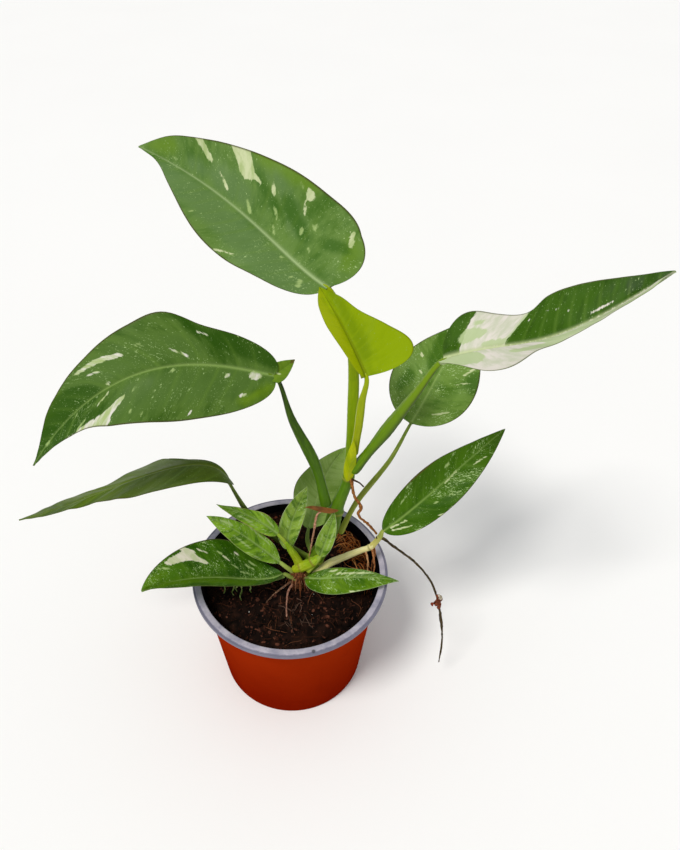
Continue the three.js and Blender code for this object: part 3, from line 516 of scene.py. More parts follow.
class Shader:
    """A node material, built up a node at a time"""

    def __init__(self, name, **settings):
        self.material = bpy.data.materials.new(name)
        self.material.use_nodes = True
        self.tree = self.material.node_tree
        self.surface = self.tree.nodes["Principled BSDF"]
        self.colour = None
        for socket, value in settings.items():
            self.surface.inputs[socket.replace("_", " ")].default_value = value

    def node(self, kind, inputs, output=0, **settings):
        node = self.tree.nodes.new(kind)
        for key, value in settings.items():
            setattr(node, key, value)
        for socket, value in inputs.items():
            self.link(node.inputs[socket], value)
        return node.outputs[output]

    def link(self, socket, value):
        """Feed a socket from another one, or with a number, or with a colour's tuple"""
        if isinstance(value, bpy.types.NodeSocket):
            self.tree.links.new(value, socket)
        else:
            socket.default_value = linear(value) if isinstance(value, tuple) else value

    def set(self, socket, value):
        self.link(self.surface.inputs[socket], value)

    def parts(self, name):
        """The three numbers of a point attribute"""
        return self.split(self.node("ShaderNodeAttribute", {}, 1, attribute_name=name))

    def position(self):
        return self.node("ShaderNodeTexCoord", {}, 3)

    def vector(self, x, y, z):
        return self.node("ShaderNodeCombineXYZ", {0: x, 1: y, 2: z})

    def split(self, vector):
        """The three parts of a vector"""
        parted = self.tree.nodes.new("ShaderNodeSeparateXYZ")
        self.link(parted.inputs[0], vector)
        return parted.outputs

    def math(self, operation, first, second=0.0, clamp=False):
        return self.node("ShaderNodeMath", {0: first, 1: second}, operation=operation, use_clamp=clamp)

    def add(self, first, second):
        return self.math("ADD", first, second)

    def times(self, first, second):
        return self.math("MULTIPLY", first, second)

    def swing(self, noise, width):
        """A noise from 0 to 1 as one of the given width about zero"""
        return self.times(self.math("SUBTRACT", noise, 0.5), width)

    def paint(self, share, tone):
        """Lay a tone over the colour so far"""
        self.colour = self.mix(share, self.colour, tone)

    def step(self, low, high, value, to=(0.0, 1.0)):
        """A smooth change from one value to another as value goes from low to high"""
        inputs = {"Value": value, "From Min": low, "From Max": high, "To Min": to[0], "To Max": to[1]}
        return self.node("ShaderNodeMapRange", inputs, interpolation_type="SMOOTHSTEP")

    def noise(self, vector, scale, detail=2.0, roughness=0.5):
        inputs = {"Vector": vector, "Scale": scale, "Detail": detail, "Roughness": roughness}
        return self.node("ShaderNodeTexNoise", inputs)

    def mix(self, share, first, second):
        return self.node("ShaderNodeMix", {0: share, 6: first, 7: second}, 2, data_type="RGBA")

    def bump(self, height, strength, distance):
        inputs = {"Height": height, "Strength": strength, "Distance": distance}
        self.set("Normal", self.node("ShaderNodeBump", inputs))


def leaf_material(name, looks, seed):
    """A waxy leaf: two greens in streaks along the veins, flecks, and the strokes of its looks.
    "place" holds the distance along and across, and 1 on the underside. The others hold how deep a
    point lies in a stroke, in millimetres, apart from the reach towards the margin and the rib."""
    tones = {**TONES, **looks}
    s = Shader(f"{name}_skin", Roughness=0.42, Specular_IOR_Level=0.08)
    along, across, under = s.parts("place")
    reach, white, pale = s.parts("mark")
    dark, brown, rib = s.parts("shade")
    lime, painted_sheen, vein = s.parts("wash")
    veinwise = s.vector(along, s.times(across, 0.35), seed * 7.3)
    even = s.vector(along, across, seed * 3.1)
    broad = s.noise(even, 0.05, 3)
    streak = s.noise(veinwise, 0.35, 4, 0.6)
    ragged = s.swing(s.noise(veinwise, 0.55, 4, 0.65), 3.4)
    soft = s.swing(s.noise(veinwise, 0.16, 3), 9.0)
    blend = s.add(s.times(broad, 0.7), s.times(streak, 0.3))
    s.colour = s.mix(s.step(0.32, 0.55, blend), tones["deep_green"], tones["green"])
    patches = s.step(0.5, 0.62, s.noise(veinwise, 0.22, 4, 0.62), (0.0, looks.get("patches", 0.35)))
    s.paint(patches, tones["deep_green"])
    # Painted reflection: a paler, duller wash stands for the sky mirrored in the waxy blade.
    s.paint(s.step(-3, 4, s.add(painted_sheen, soft), (0.0, 0.75)), tones["painted_sheen_tone"])
    s.paint(s.step(-3, 3, s.add(lime, soft), (0.0, 0.75)), tones["lime_tone"])
    s.paint(s.step(-2, 2, s.add(dark, ragged), (0.0, 0.85)), tones["deep_green"])
    s.paint(s.times(vein, 0.4), tones["vein_tone"])
    fleck_place = s.vector(along, s.times(across, 0.55), seed)
    flecks = looks.get("flecks", 0.0)
    crowd = s.step(0.38, 0.68, s.noise(even, 0.09, 3), (0.0, 0.13 * flecks))
    speck = s.step(0.66, 0.71, s.add(s.noise(fleck_place, 1.0, 3, 0.7), crowd))
    dust = s.step(0.70, 0.74, s.add(s.noise(fleck_place, 2.6, 2, 0.6), crowd))
    speck = s.math("MAXIMUM", speck, dust)
    s.paint(s.times(speck, min(1.0, 0.35 + flecks)), tones["fleck"])
    cream = s.mix(s.step(0.35, 0.65, streak), tones["cream_low"], tones["cream_high"])
    s.paint(s.step(-0.2, 0.35, s.add(white, ragged)), cream)
    s.paint(s.step(-0.4, 0.6, s.add(pale, ragged), (0.0, 0.85)), tones["mint_tone"])
    s.paint(s.times(rib, looks.get("rib_share", 0.9)), tones["rib"])
    s.paint(s.step(0.96, 0.995, reach, (0.0, 0.85)), tones["edge"])
    s.paint(s.step(-0.4, 0.4, brown), tones["brown_tone"])
    s.paint(s.times(under, 0.4), tones["under"])
    s.set("Base Color", s.colour)
    s.set("Roughness", s.step(0.3, 0.7, streak, (0.36, 0.5)))
    s.bump(s.noise(even, 1.6, 3, 0.6), 0.25, 0.0002)
    return s.material


def stalk_material(name, low, high, streaks, scar=(120, 110, 50), painted_shade=0.0):
    """A smooth stalk that turns from one colour at its foot to another at its head. "place" holds
    the distance along and the place round the stalk; "mark" the share of its length, and how far
    it is scarred and dry. The last argument is how much painted shade darkens its underside."""
    s = Shader(f"{name}_skin", Specular_IOR_Level=0.12)
    along, east, north = s.parts("place")
    share, scarred, dried = s.parts("mark")
    lengthwise = s.vector(s.times(along, 0.12), east, north)
    lines = s.noise(lengthwise, 1.1, 3, 0.6)
    patches = s.noise(s.vector(along, east, north), 0.16, 3)
    s.colour = s.mix(s.step(0.0, 1.0, share), low, high)
    s.paint(s.step(0.4, 0.7, lines, (0.0, 0.55)), streaks)
    s.paint(s.step(0.55, 0.75, patches, (0.0, 0.35)), low)
    # Painted shade: the underside, turned away from the light above, is darkened towards half the foot
    # colour, fading out at the head.
    width = s.add(s.math("ABSOLUTE", east), s.math("ABSOLUTE", north))
    side = s.math("DIVIDE", north, s.add(width, 0.05))
    shade = s.times(s.step(0.15, -0.55, side, (0.0, painted_shade)), s.step(0.97, 0.85, share))
    s.paint(shade, tuple(0.5 * part for part in low))
    s.paint(s.times(scarred, 0.8), scar)
    jittered = s.add(dried, s.math("SUBTRACT", s.noise(lengthwise, 0.7, 4, 0.7), 0.5))
    s.paint(s.step(0.35, 0.65, jittered), (104, 70, 40))
    s.set("Base Color", s.colour)
    s.set("Roughness", s.step(0.2, 0.8, lines, (0.32, 0.48)))
    s.bump(lines, 0.3, 0.0003)
    return s.material


def root_material(name, deep, light):
    s = Shader(f"{name}_skin", Roughness=0.85, Specular_IOR_Level=0.1)
    along, east, north = s.parts("place")
    grain = s.noise(s.vector(s.times(along, 0.5), east, north), 1.4, 4, 0.7)
    s.set("Base Color", s.mix(s.step(0.35, 0.65, grain), deep, light))
    s.bump(grain, 0.6, 0.0003)
    return s.material


def crumb_material(name, tones):
    """Earth and fibre: each crumb has its own tone, kept in "mark", with grain inside it"""
    s = Shader(name, Roughness=0.95, Specular_IOR_Level=0.06)
    grain = s.noise(s.position(), 350.0, 5, 0.65)
    shift = s.swing(grain, 0.7)
    ramp = s.tree.nodes.new("ShaderNodeValToRGB")
    ramp.color_ramp.elements[0].color = linear(tones[0])
    ramp.color_ramp.elements[1].color = linear(tones[-1])
    for step, tint in enumerate(tones[1:-1], start=1):
        ramp.color_ramp.elements.new(step / (len(tones) - 1)).color = linear(tint)
    s.link(ramp.inputs[0], s.math("ADD", s.parts("mark")[0], shift, clamp=True))
    s.set("Base Color", ramp.outputs[0])
    s.bump(grain, 0.8, 0.0006)
    return s.material


# Leaf blades

def leaf_place(leaf, along, across):
    """Points of a leaf's upper face, as in the CAD: along runs from base to tip, across from the
    left margin (-1) over the midrib (0) to the right margin (1), and the rows follow the side
    veins. Gives the points, the veins' share of the midrib and the distance from it."""
    rib = leaf["rib"]
    right = across >= 0
    side = np.where(right, 1.0, -1.0)
    reach = np.abs(across)
    angle = BASE_ANGLE + along * (math.pi - BASE_ANGLE - TIP_ANGLE)
    point = leaf["point"]
    power = -math.log(leaf["widest"]) / math.log(point + 2)
    margin = np.sin(angle / 2) ** (2 * power)
    peak = ((point + 1) / (point + 2)) ** ((point + 1) / 2)
    width = np.sin(angle) * np.cos(angle / 2) ** point / (2 * (1 / (point + 2)) ** 0.5 * peak)
    lobe_share = np.clip(angle / LOBE_REACH, 0, 1)
    lobe = np.where(right, leaf["lobes"][1], leaf["lobes"][0])
    lobe = lobe * LOBE_PEAK * lobe_share * (1 - lobe_share) ** 2
    vein = margin ** VEIN_SWEEP
    forward = vein + (margin - lobe - vein) * reach ** VEIN_CURVE
    share = np.clip(forward, 0, 1)
    place, tangent = rib.at(share)
    place = place + tangent * (np.minimum(forward, 0) * rib.length)[..., None]
    first, last = (unit(np.array(face, float)) for face in leaf["faces"])
    face = first * (1 - share)[..., None] + last * share[..., None]
    face = unit(face - (face * tangent).sum(-1, keepdims=True) * tangent)
    spread = np.where(right, station(leaf["spread"][1], vein), station(leaf["spread"][0], vein))
    distance = leaf["half_width"] * spread * width * reach
    left_fold, right_fold = (low + (high - low) * share for low, high in leaf["folds"])
    fold = np.radians(np.where(right, right_fold, left_fold))
    height, waves, phase = leaf["wave"]
    calm = np.clip(4 * share * (1 - share), 0, 1)
    rise = distance * np.sin(fold)
    rise = rise + height * reach ** 2 * np.sin(2 * math.pi * (waves * share + phase + 0.21 * side)) * calm
    place = place + np.cross(tangent, face) * (side * distance * np.cos(fold))[..., None]
    return place + face * rise[..., None], vein, side * distance


def stroke_depth(strokes, along, across):
    """How deep each place lies inside the nearest stroke, in millimetres; negative outside"""
    depth = np.full(along.shape, FAR_FROM_STROKES)
    for x1, y1, x2, y2, start_width, end_width in strokes:
        run = (x2 - x1) ** 2 + (y2 - y1) ** 2
        t = np.clip(((along - x1) * (x2 - x1) + (across - y1) * (y2 - y1)) / run, 0, 1)
        gap = np.hypot(along - x1 - t * (x2 - x1), across - y1 - t * (y2 - y1))
        depth = np.maximum(depth, (start_width + (end_width - start_width) * t) / 2 - gap)
    return depth


def leaf_attributes(run, distance, reach, strokes, rib_line, vein_line):
    """The numbers that the material reads, for the upper and then the lower side"""
    upper, lower = np.zeros(run.shape), np.ones(run.shape)
    groups = {
        "place": [(run, distance, upper), (run, distance, lower)],
        "mark": [(reach, strokes["cream"], strokes["mint"])] * 2,
        "shade": [(strokes["deep"], strokes["brown"], rib_line)] * 2,
        "wash": [(strokes["lime"], strokes["painted_sheen"], vein_line)] * 2,
    }
    return {key: np.concatenate([np.stack(parts, -1).reshape(-1, 3) for parts in sides])
            for key, sides in groups.items()}


def blade_grid(leaf, along, across):
    """Points of a leaf's upper face with their normals, the veins' share and the distance"""
    top, vein, distance = leaf_place(leaf, along, across)
    step = SLOPE_STEP
    ahead = leaf_place(leaf, along + step, across)[0] - leaf_place(leaf, along - step, across)[0]
    right = leaf_place(leaf, along, across + step)[0] - leaf_place(leaf, along, across - step)[0]
    return top, unit(np.cross(right, ahead)), vein, distance


def shell_faces(rows, columns):
    """Faces of two grids of points joined round their edge, and how many lie before the edge's"""
    upper = grid_faces(rows, columns)
    lower = upper[:, ::-1] + rows * columns
    numbers = np.arange(rows * columns).reshape(rows, columns)
    loop = np.concatenate([numbers[0, :-1], numbers[:-1, -1], numbers[-1, :0:-1], numbers[:0:-1, 0]])
    after = np.roll(loop, -1)
    edge = np.stack([loop, loop + rows * columns, after + rows * columns, after], -1)
    return [*upper.tolist(), *lower.tolist(), *edge.tolist()], 2 * len(upper)


def stroke_depths(looks, run, distance):
    return {key: stroke_depth(looks.get(key, ()), run, distance) for key in STROKES}


def make_blade(leaf, seed):
    """A leaf blade as a thin closed shell, with its midrib sunken above and round below"""
    name = leaf["name"]
    large = leaf["half_width"] > LARGE_HALF_WIDTH
    rows, half_columns = LARGE_GRID if large else SMALL_GRID
    columns = 2 * half_columns + 1
    along = np.linspace(0, 1, rows)[:, None] + np.zeros(columns)
    across = np.linspace(-1, 1, columns)
    across = np.sign(across) * np.abs(across) ** MIDRIB_PACKING + np.zeros((rows, 1))
    top, normal, vein, distance = blade_grid(leaf, along, across)
    length = leaf["rib"].length
    run = vein * length
    reach = np.abs(across)
    rib_radius = leaf["radii"][-1] * RIB_THICKNESS * (1 - vein) ** RIB_TAPER + RIB_LEAST
    spacing = length / (LARGE_VEINS if large else SMALL_VEINS)
    uneven = run + 2.2 * (value_noise(run, np.sign(distance) * 40, 16, seed + 5) - 0.5)
    between = np.abs(np.sin(math.pi * uneven / spacing))
    groove = between ** 0.6 * smooth_step(0, 0.25, reach) * (1 - reach ** 4)
    vein_line = (1 - between) ** 5 * (1 - reach ** 3)
    ripple = (value_noise(run, distance, 13, seed) - 0.5) * 1.5
    ripple = ripple + (value_noise(run, distance, 6, seed + 9) - 0.5) * 0.5
    size = 1 if large else 0.4
    relief = size * (VEIN_DEPTH * groove + RIPPLE * ripple * smooth_step(0, 0.3, reach))
    relief = relief - 0.5 * rib_radius * np.exp(-(distance / (0.75 * rib_radius)) ** 2)
    top = top + normal * relief[..., None]
    thickness = MARGIN_THICKNESS + (BLADE_THICKNESS - MARGIN_THICKNESS) * (1 - reach ** 6)
    ridge = np.sqrt(np.maximum(rib_radius ** 2 - distance ** 2, 0)) * 1.3
    bottom = top - normal * (thickness + ridge)[..., None]
    points = np.vstack([top.reshape(-1, 3), bottom.reshape(-1, 3)])
    faces, edge_from = shell_faces(rows, columns)
    rib_line = np.exp(-(distance / (0.5 * rib_radius + 0.2)) ** 2) * (1 - 0.6 * vein)
    strokes = stroke_depths(LOOKS[name], run, distance)
    attributes = leaf_attributes(run, distance, reach, strokes, rib_line, vein_line)
    piece = make_object(f"{name}_skin_blade", points, faces, attributes, edge_from)
    node = f"{name}_blade"
    place_piece(piece, leaf_material(name, LOOKS[name], seed), node_slot(node), node)


def make_scale(shape, seed):
    """A small thin scale, such as a sheath round the stem"""
    name = shape["name"]
    rows, columns = SCALE_GRID
    along = np.linspace(0, 1, rows)[:, None] + np.zeros(columns)
    across = np.linspace(-1, 1, columns) + np.zeros((rows, 1))
    top, normal, vein, distance = blade_grid(shape, along, across)
    points = np.vstack([top.reshape(-1, 3), (top - normal * SCALE_THICKNESS).reshape(-1, 3)])
    run = vein * shape["rib"].length
    strokes = stroke_depths(LOOKS[name], run, distance)
    attributes = leaf_attributes(run, distance, np.abs(across) * 0.9, strokes, run * 0, run * 0)
    piece = make_object(f"{name}_skin", points, shell_faces(rows, columns)[0], attributes)
    material = leaf_material(name, LOOKS[name], seed)
    if "slot" in shape:
        place_piece(piece, material, shape["slot"])
    else:
        place_piece(piece, material, node_slot(name), name)


# Round shapes

def turns(sides):
    """Angles evenly spaced round a circle"""
    return np.arange(sides) * 2 * math.pi / sides


def turned(radii, heights, sides, first_pole, last_pole):
    """Points and faces of rings round the upright axis, closed at both ends at heights on it"""
    turn = turns(sides)
    rows = len(radii)
    points = np.stack([radii * np.cos(turn), radii * np.sin(turn), heights + np.zeros(sides)], -1)
    points = np.vstack([points.reshape(-1, 3), [[0, 0, first_pole], [0, 0, last_pole]]])
    faces = grid_faces(rows, sides, 0, True).tolist()
    last = (rows - 1) * sides
    for i in range(sides):
        j = (i + 1) % sides
        faces.append((j, i, rows * sides))
        faces.append((last + i, last + j, rows * sides + 1))
    return points, faces


# Stalks, stems and roots

def frames_along(place, up):
    """Two directions across a route at each of its points, carried along without twisting"""
    tangent = unit(np.gradient(place, axis=0))
    north = [unit(up - (up @ tangent[0]) * tangent[0])]
    for direction in tangent[1:]:
        carried = north[-1] - (north[-1] @ direction) * direction
        north.append(unit(carried))
    north = np.array(north)
    return np.cross(tangent, north), north


def make_tube(name, route, radii, sides, spacing, up=(0, 0, 1), channel=0.0, swells=(), ends=(0.6, 0.6),
              rough=0.0, dry=(), seed=1):
    """A round stalk with rounded ends. channel is the depth of the groove along its upper side as a
    share of the radius, swells lists rings as (share, growth, width), rough is how knobbly it is,
    and dry lists the places where its skin is dead as (share, width)."""
    length = through(route, [0.0])[1]
    steps = max(int(length / spacing), 8)
    shares = np.linspace(0, 1, steps + 1)
    first, last = (station(radii, np.array([end]))[0] * ends[int(end)] for end in (0.0, 1.0))
    rounding = np.array([0.0, 0.03, 0.12, 0.3, 0.6])
    inner = shares[(shares * length > first) & ((1 - shares) * length > last)]
    shares = np.concatenate([rounding * first / length, inner, 1 - rounding[::-1] * last / length])
    place, length = through(route, shares)
    east, north = frames_along(place, np.array(up, float))
    radius = station(radii, shares)
    scar = np.zeros(len(shares))
    for centre, growth, width in swells:
        ring = np.exp(-((shares - centre) * length / width) ** 2)
        radius = radius * (1 + growth * ring)
        scar = np.maximum(scar, np.exp(-((shares - centre) * length / width * 2.2) ** 2))
    from_start = np.clip(shares * length / first, 0, 1)
    from_end = np.clip((1 - shares) * length / last, 0, 1)
    radius = radius * np.sqrt(1 - (1 - from_start) ** 2) * np.sqrt(1 - (1 - from_end) ** 2)
    turn = turns(sides)
    off_top = np.abs((turn - math.pi / 2 + math.pi) % (2 * math.pi) - math.pi)
    profile = 1 - channel * np.exp(-(off_top / CHANNEL_WIDTH) ** 2)
    run = shares * length
    round_it = 3 * np.cos(turn) + 5
    along = run[:, None] + np.zeros(sides)
    bumps = value_noise(along, round_it + np.zeros((len(shares), 1)), BUMP_SIZE, seed) - 0.5
    reach = radius[:, None] * profile * (1 + rough * bumps)
    rings = place[:, None] + east[:, None] * (reach * np.cos(turn))[..., None]
    rings = rings + north[:, None] * (reach * np.sin(turn))[..., None]
    count = len(shares)
    points = np.vstack([rings.reshape(-1, 3), place[:1], place[-1:]])
    faces = grid_faces(count, sides, 0, True)[:, ::-1].tolist()
    for ring, pole in ((0, count * sides), ((count - 1) * sides, count * sides + 1)):
        for i in range(sides):
            a, b = ring + i, ring + (i + 1) % sides
            faces.append((b, a, pole) if ring else (a, b, pole))
    dried = np.zeros(count)
    for centre, width in dry:
        dried = np.maximum(dried, np.exp(-((shares - centre) * length / width) ** 2))
    mean = station(radii, shares)
    around = np.stack([np.broadcast_to(run[:, None], (count, sides)), mean[:, None] * np.cos(turn),
                       mean[:, None] * np.sin(turn)], -1).reshape(-1, 3)
    marks = np.stack([shares, scar, dried], -1)
    attributes = {
        "place": np.vstack([around, [[0, 0, 0], [length, 0, 0]]]),
        "mark": np.vstack([np.repeat(marks, sides, axis=0), marks[:1], marks[-1:]]),
    }
    return make_object(name, points, faces, attributes)


def node_slot(node):
    for part in frame["record"]["subparts"]:
        if part["node"] == node:
            return part["material_slot"]
    raise KeyError(node)


# How much thicker some stalks are than the CAD's, and the colours of each: foot, head, streaks
STALK_GROWTH = {
    "top_leaf": 1.15, "new_leaf": 1.3, "left_leaf": 1.25, "right_leaf": 1.15, "low_left_leaf": 1.25,
    "low_right_leaf": 1.2,
}
STALK_LOOKS = {
    "top_leaf": ((104, 136, 0), (150, 168, 8), (138, 158, 4)),
    "new_leaf": ((146, 158, 0), (146, 164, 0), (168, 180, 16)),
    "right_leaf": ((82, 120, 0), (112, 140, 24), (108, 142, 10)),
    "round_leaf": ((140, 150, 50), (96, 122, 44), (160, 168, 80)),
    "low_right_leaf": ((206, 196, 110), (132, 156, 56), (216, 206, 130)),
    "left_leaf": ((72, 110, 4), (34, 54, 6), (84, 122, 14)),
    "low_left_leaf": ((100, 122, 34), (84, 104, 44), (130, 146, 66)),
    "back_leaf": ((120, 140, 60), (120, 144, 70), (140, 160, 80)),
    "front_left_leaf": ((130, 140, 60), (110, 136, 60), (150, 160, 84)),
    "front_right_leaf": ((160, 150, 84), (130, 150, 60), (170, 164, 100)),
    "young_leaf_1": ((168, 168, 50), (140, 172, 52), (176, 182, 76)),
    "young_leaf_2": ((150, 160, 70), (150, 178, 80), (176, 186, 110)),
    "young_leaf_3": ((140, 164, 50), (130, 168, 54), (160, 182, 80)),
    "young_leaf_4": ((150, 166, 50), (130, 162, 60), (170, 184, 90)),
}


def make_petiole(leaf, seed):
    """A leaf's stalk, grooved above, run on under the blade as its midrib"""
    name = leaf["name"]
    base, tangent = leaf["rib"].at(np.array([0.0]))
    base, tangent = base[0], tangent[0]
    face = np.array(leaf["faces"][0], float)
    face = unit(face - (face @ tangent) * tangent)
    head = leaf["radii"][-1]
    foot = np.array(leaf["petiole"][0], float)
    away = unit(foot - np.array(leaf["petiole"][1], float))
    under = base - face * head * HEAD_DROP - tangent * HEAD_BACK * head
    ahead = base + tangent * RIB_AHEAD * head - face * head * RIB_DROP
    route = [foot + away * leaf["radii"][0] * 1.1, *leaf["petiole"][:-1], under, ahead]
    stout = STALK_GROWTH.get(name, 1)
    thick = [radius * stout for radius in leaf["radii"][:-1]]
    radii = [leaf["radii"][0] * 1.2 * stout, *thick, head, head * 0.7]
    piece = make_tube(f"{name}_stalk", route, radii, 24, 0.8, face, CHANNEL_DEPTH, seed=seed, rough=0.04)
    node = f"{name}_petiole"
    # The stalk's underside gets painted shade.
    material = stalk_material(f"{name}_stalk", *STALK_LOOKS[name], painted_shade=0.75)
    place_piece(piece, material, node_slot(node), node)


MAIN_STEM = {
    "points": [[4, -3, 71], [8, -2, 86], [16, 2, 98], [24, 5, 117.7], [28, 6, 138.5], [33, 6, 157],
               [34.4, 6, 167]],
    "radii": [4.4, 4.6, 4.8, 4.9, 4.3, 3.3, 3.1],
    "swells": [(0.16, 0.12, 2.0), (0.29, 0.1, 1.6), (0.69, 0.14, 1.6), (0.965, 0.15, 2.0)],
    "dry": [(0.0, 14.0), (0.12, 7.0)],
}
RUNNER_STEM = {
    "points": [[13, -3, 89], [17.1, -3.2, 91], [25, 1.5, 93], [34.3, 6, 93.6], [43, 8, 96.5],
               [49.2, 8, 100], [51.5, 7.8, 103.5]],
    "radii": [2.2, 2.4, 2.4, 2.2, 2.0, 1.8, 1.6],
}
ROOTS = [
    {"name": "brown_aerial_root", "tones": ((96, 54, 22), (176, 116, 60)),
     "points": [[35.3, 2.5, 166], [37.2, 0, 155], [41.4, -1, 145.4], [39.9, -1, 140.4], [47.5, 2, 126.6],
                [52, 5, 116]], "radii": [1, 0.8, 0.9, 0.7, 0.8, 0.6]},
    {"name": "root_stub", "tones": ((34, 22, 16), (74, 48, 30)),
     "points": [[35.6, 1.3, 166.2], [39.7, -1.4, 166.2], [42.2, -3.4, 165]], "radii": [0.6, 0.5, 0.35]},
    {"name": "thin_aerial_root", "tones": ((150, 92, 70), (206, 160, 130)),
     "points": [[19.5, -1.4, 143.5], [17, -1.4, 141], [14.8, -1, 125.3], [12.9, 1, 108.4], [11.5, 1, 97]],
     "radii": [0.6, 0.7, 0.65, 0.5, 0.4]},
    {"name": "long_aerial_root", "tones": ((30, 24, 14), (86, 72, 48)),
     "points": [[52, 7.6, 110], [57.2, 6.2, 109.5], [61.5, 5.4, 105.5], [67, 4, 101.2], [76, 0, 95.5],
                [85.5, -6, 85.7], [90.7, -10, 73], [94.6, -14, 55.2], [96.5, -18, 39], [96, -22, 19.4]],
     "radii": [0.9, 0.8, 0.7, 0.65, 0.65, 0.6, 0.9, 0.6, 0.6, 0.35]},
    {"name": "runner_root_1", "tones": ((124, 70, 34), (196, 134, 84)),
     "points": [[50, 7, 100], [51.5, 3.3, 93], [51.8, 1.5, 88], [50.5, -0.5, 78]],
     "radii": [0.7, 0.6, 0.5, 0.35]},
    {"name": "runner_root_2", "tones": ((150, 100, 62), (206, 160, 112)),
     "points": [[46.4, 7, 97.5], [47.8, 2.3, 92], [47.6, 1, 87.5], [48.6, -2.5, 78]],
     "radii": [0.7, 0.6, 0.5, 0.35]},
    {"name": "runner_root_3", "tones": ((110, 60, 30), (176, 116, 70)),
     "points": [[51.5, 8.2, 100], [52.2, 7.7, 93], [51, 6.6, 88.5], [50.6, 4.6, 78]],
     "radii": [0.6, 0.55, 0.5, 0.3]},
    {"name": "soil_root_1", "tones": ((112, 70, 56), (176, 132, 112)),
     "points": [[5, -4, 84.5], [2.8, -6.3, 83.2], [-0.5, -10, 82], [-1.8, -18, 80.6], [-1.4, -30, 79.4]],
     "radii": [0.8, 0.7, 0.6, 0.5, 0.35]},
    {"name": "soil_root_2", "tones": ((120, 80, 60), (190, 150, 120)),
     "points": [[5, -3, 84], [1.4, -4.2, 82.4], [-4.3, -8, 81.2], [-9, -12, 80.4], [-14.2, -18, 79.4]],
     "radii": [0.7, 0.65, 0.6, 0.5, 0.3]},
]
# Small scales, shaped as leaves are: the new leaf's sheath, what is left of an older one, and the
# ear at the base of the left leaf
SCALES = [
    {"name": "new_leaf_sheath",
     "midrib": [[33.2, 1.6, 164], [33.5, -0.2, 173], [34.7, -0.6, 184], [35.7, 0.4, 196]],
     "faces": [[-0.3, -0.95, 0], [-0.3, -0.95, 0]], "half_width": 3.9, "widest": 0.34, "point": 0.6,
     "folds": [[-35, -30], [-35, -30]]},
    {"name": "dry_sheath", "midrib": [[29, 0.4, 142], [22, -3, 145.5], [15, -1.5, 146], [9.6, 0.5, 144]],
     "faces": [[0, -0.7, 0.7], [0, -0.7, 0.7]], "half_width": 1.7, "widest": 0.45, "point": 0.9,
     "folds": [[-30, -20], [-10, -30]]},
    {"name": "left_leaf_ear", "slot": "leaf",
     "midrib": [[-6.4, 1.4, 236.8], [-2.6, 3.4, 237.6], [1.6, 5.6, 239.6], [6, 7.4, 243]],
     "faces": [[-0.3, -0.75, 0.6], [-0.4, -0.75, 0.55]], "half_width": 5.4, "widest": 0.3, "point": 1.0,
     "folds": [[30, 30], [20, 30]], "wave": [0.3, 1.5, 0.2]},
]


def make_stems():
    piece = make_tube("main_stem_skin", MAIN_STEM["points"], MAIN_STEM["radii"], 32, 0.7, (0, -1, 0),
                      swells=MAIN_STEM["swells"], dry=MAIN_STEM["dry"], rough=0.06)
    material = stalk_material("main_stem", (92, 116, 22), (84, 124, 14), (70, 104, 14), scar=(150, 150, 60))
    place_piece(piece, material, "stem", "main_stem")
    piece = make_tube("runner_stem_skin", RUNNER_STEM["points"], RUNNER_STEM["radii"], 24, 0.6, rough=0.1,
                      swells=[(0.9, 0.2, 1.5)])
    material = stalk_material("runner_stem", (212, 208, 134), (226, 216, 146), (242, 236, 190))
    place_piece(piece, material, "runner", "runner_stem")


def make_root(name, part, slot, nodes, seed, sides=10, spacing=0.5, rough=0.7):
    piece = make_tube(name, part["points"], part["radii"], sides, spacing, rough=rough, seed=seed)
    place_piece(piece, root_material(part["name"], *part["tones"]), slot, *nodes)


def make_roots():
    for seed, root in enumerate(ROOTS, start=40):
        name = root["name"]
        make_root(f"{name}_skin", root, node_slot(name), [name], seed)


# The short thick joint where the young stalks leave the foot of the stem
CROWN = [
    {"name": "crown_node",
     "points": [[1.6, -4, 93], [6.5, -4.4, 96.5], [12.5, -4.4, 100], [18.6, -3.4, 105.5]],
     "radii": [2.2, 3.2, 3.0, 1.9], "swells": [(0.3, 0.15, 1.0), (0.7, 0.15, 1.2)], "channel": 0.15},
    {"name": "crown_arm", "points": [[6.5, -3, 96], [3.6, -2, 103], [0.6, -1.5, 110], [-2, -1, 115.5]],
     "radii": [2.8, 2.5, 2.0, 1.0], "swells": [], "channel": 0.25},
    {"name": "crown_foot",
     "points": [[6.5, -4.6, 95], [5.6, -4.8, 90], [5.2, -4.6, 84.5], [5.2, -4.2, 77]],
     "radii": [3.0, 3.7, 4.2, 4.4], "swells": [(0.25, 0.12, 1.0), (0.5, 0.12, 1.0)], "channel": 0.0},
]
# The knot on the long root that hangs outside the pot
KNOT = [
    {"name": "root_knot", "tones": ((58, 22, 8), (140, 74, 50)),
     "points": [[89.9, -11.2, 78], [91.4, -12.4, 75], [89.4, -13, 72.6], [91.8, -13.6, 70.6],
                [91.2, -14.6, 68]], "radii": [0.6, 1.5, 1.0, 1.7, 0.7]},
    {"name": "root_knot_husk", "tones": ((130, 116, 92), (216, 208, 190)),
     "points": [[90.6, -12.2, 79.4], [91.9, -12.8, 77.4], [92.4, -13, 75]], "radii": [0.5, 1.2, 0.5]},
    {"name": "root_knot_bud", "tones": ((70, 24, 10), (150, 70, 50)),
     "points": [[88.6, -12.6, 71.8], [87.8, -12.9, 70.6], [88, -13.2, 69]], "radii": [0.5, 0.9, 0.4]},
]
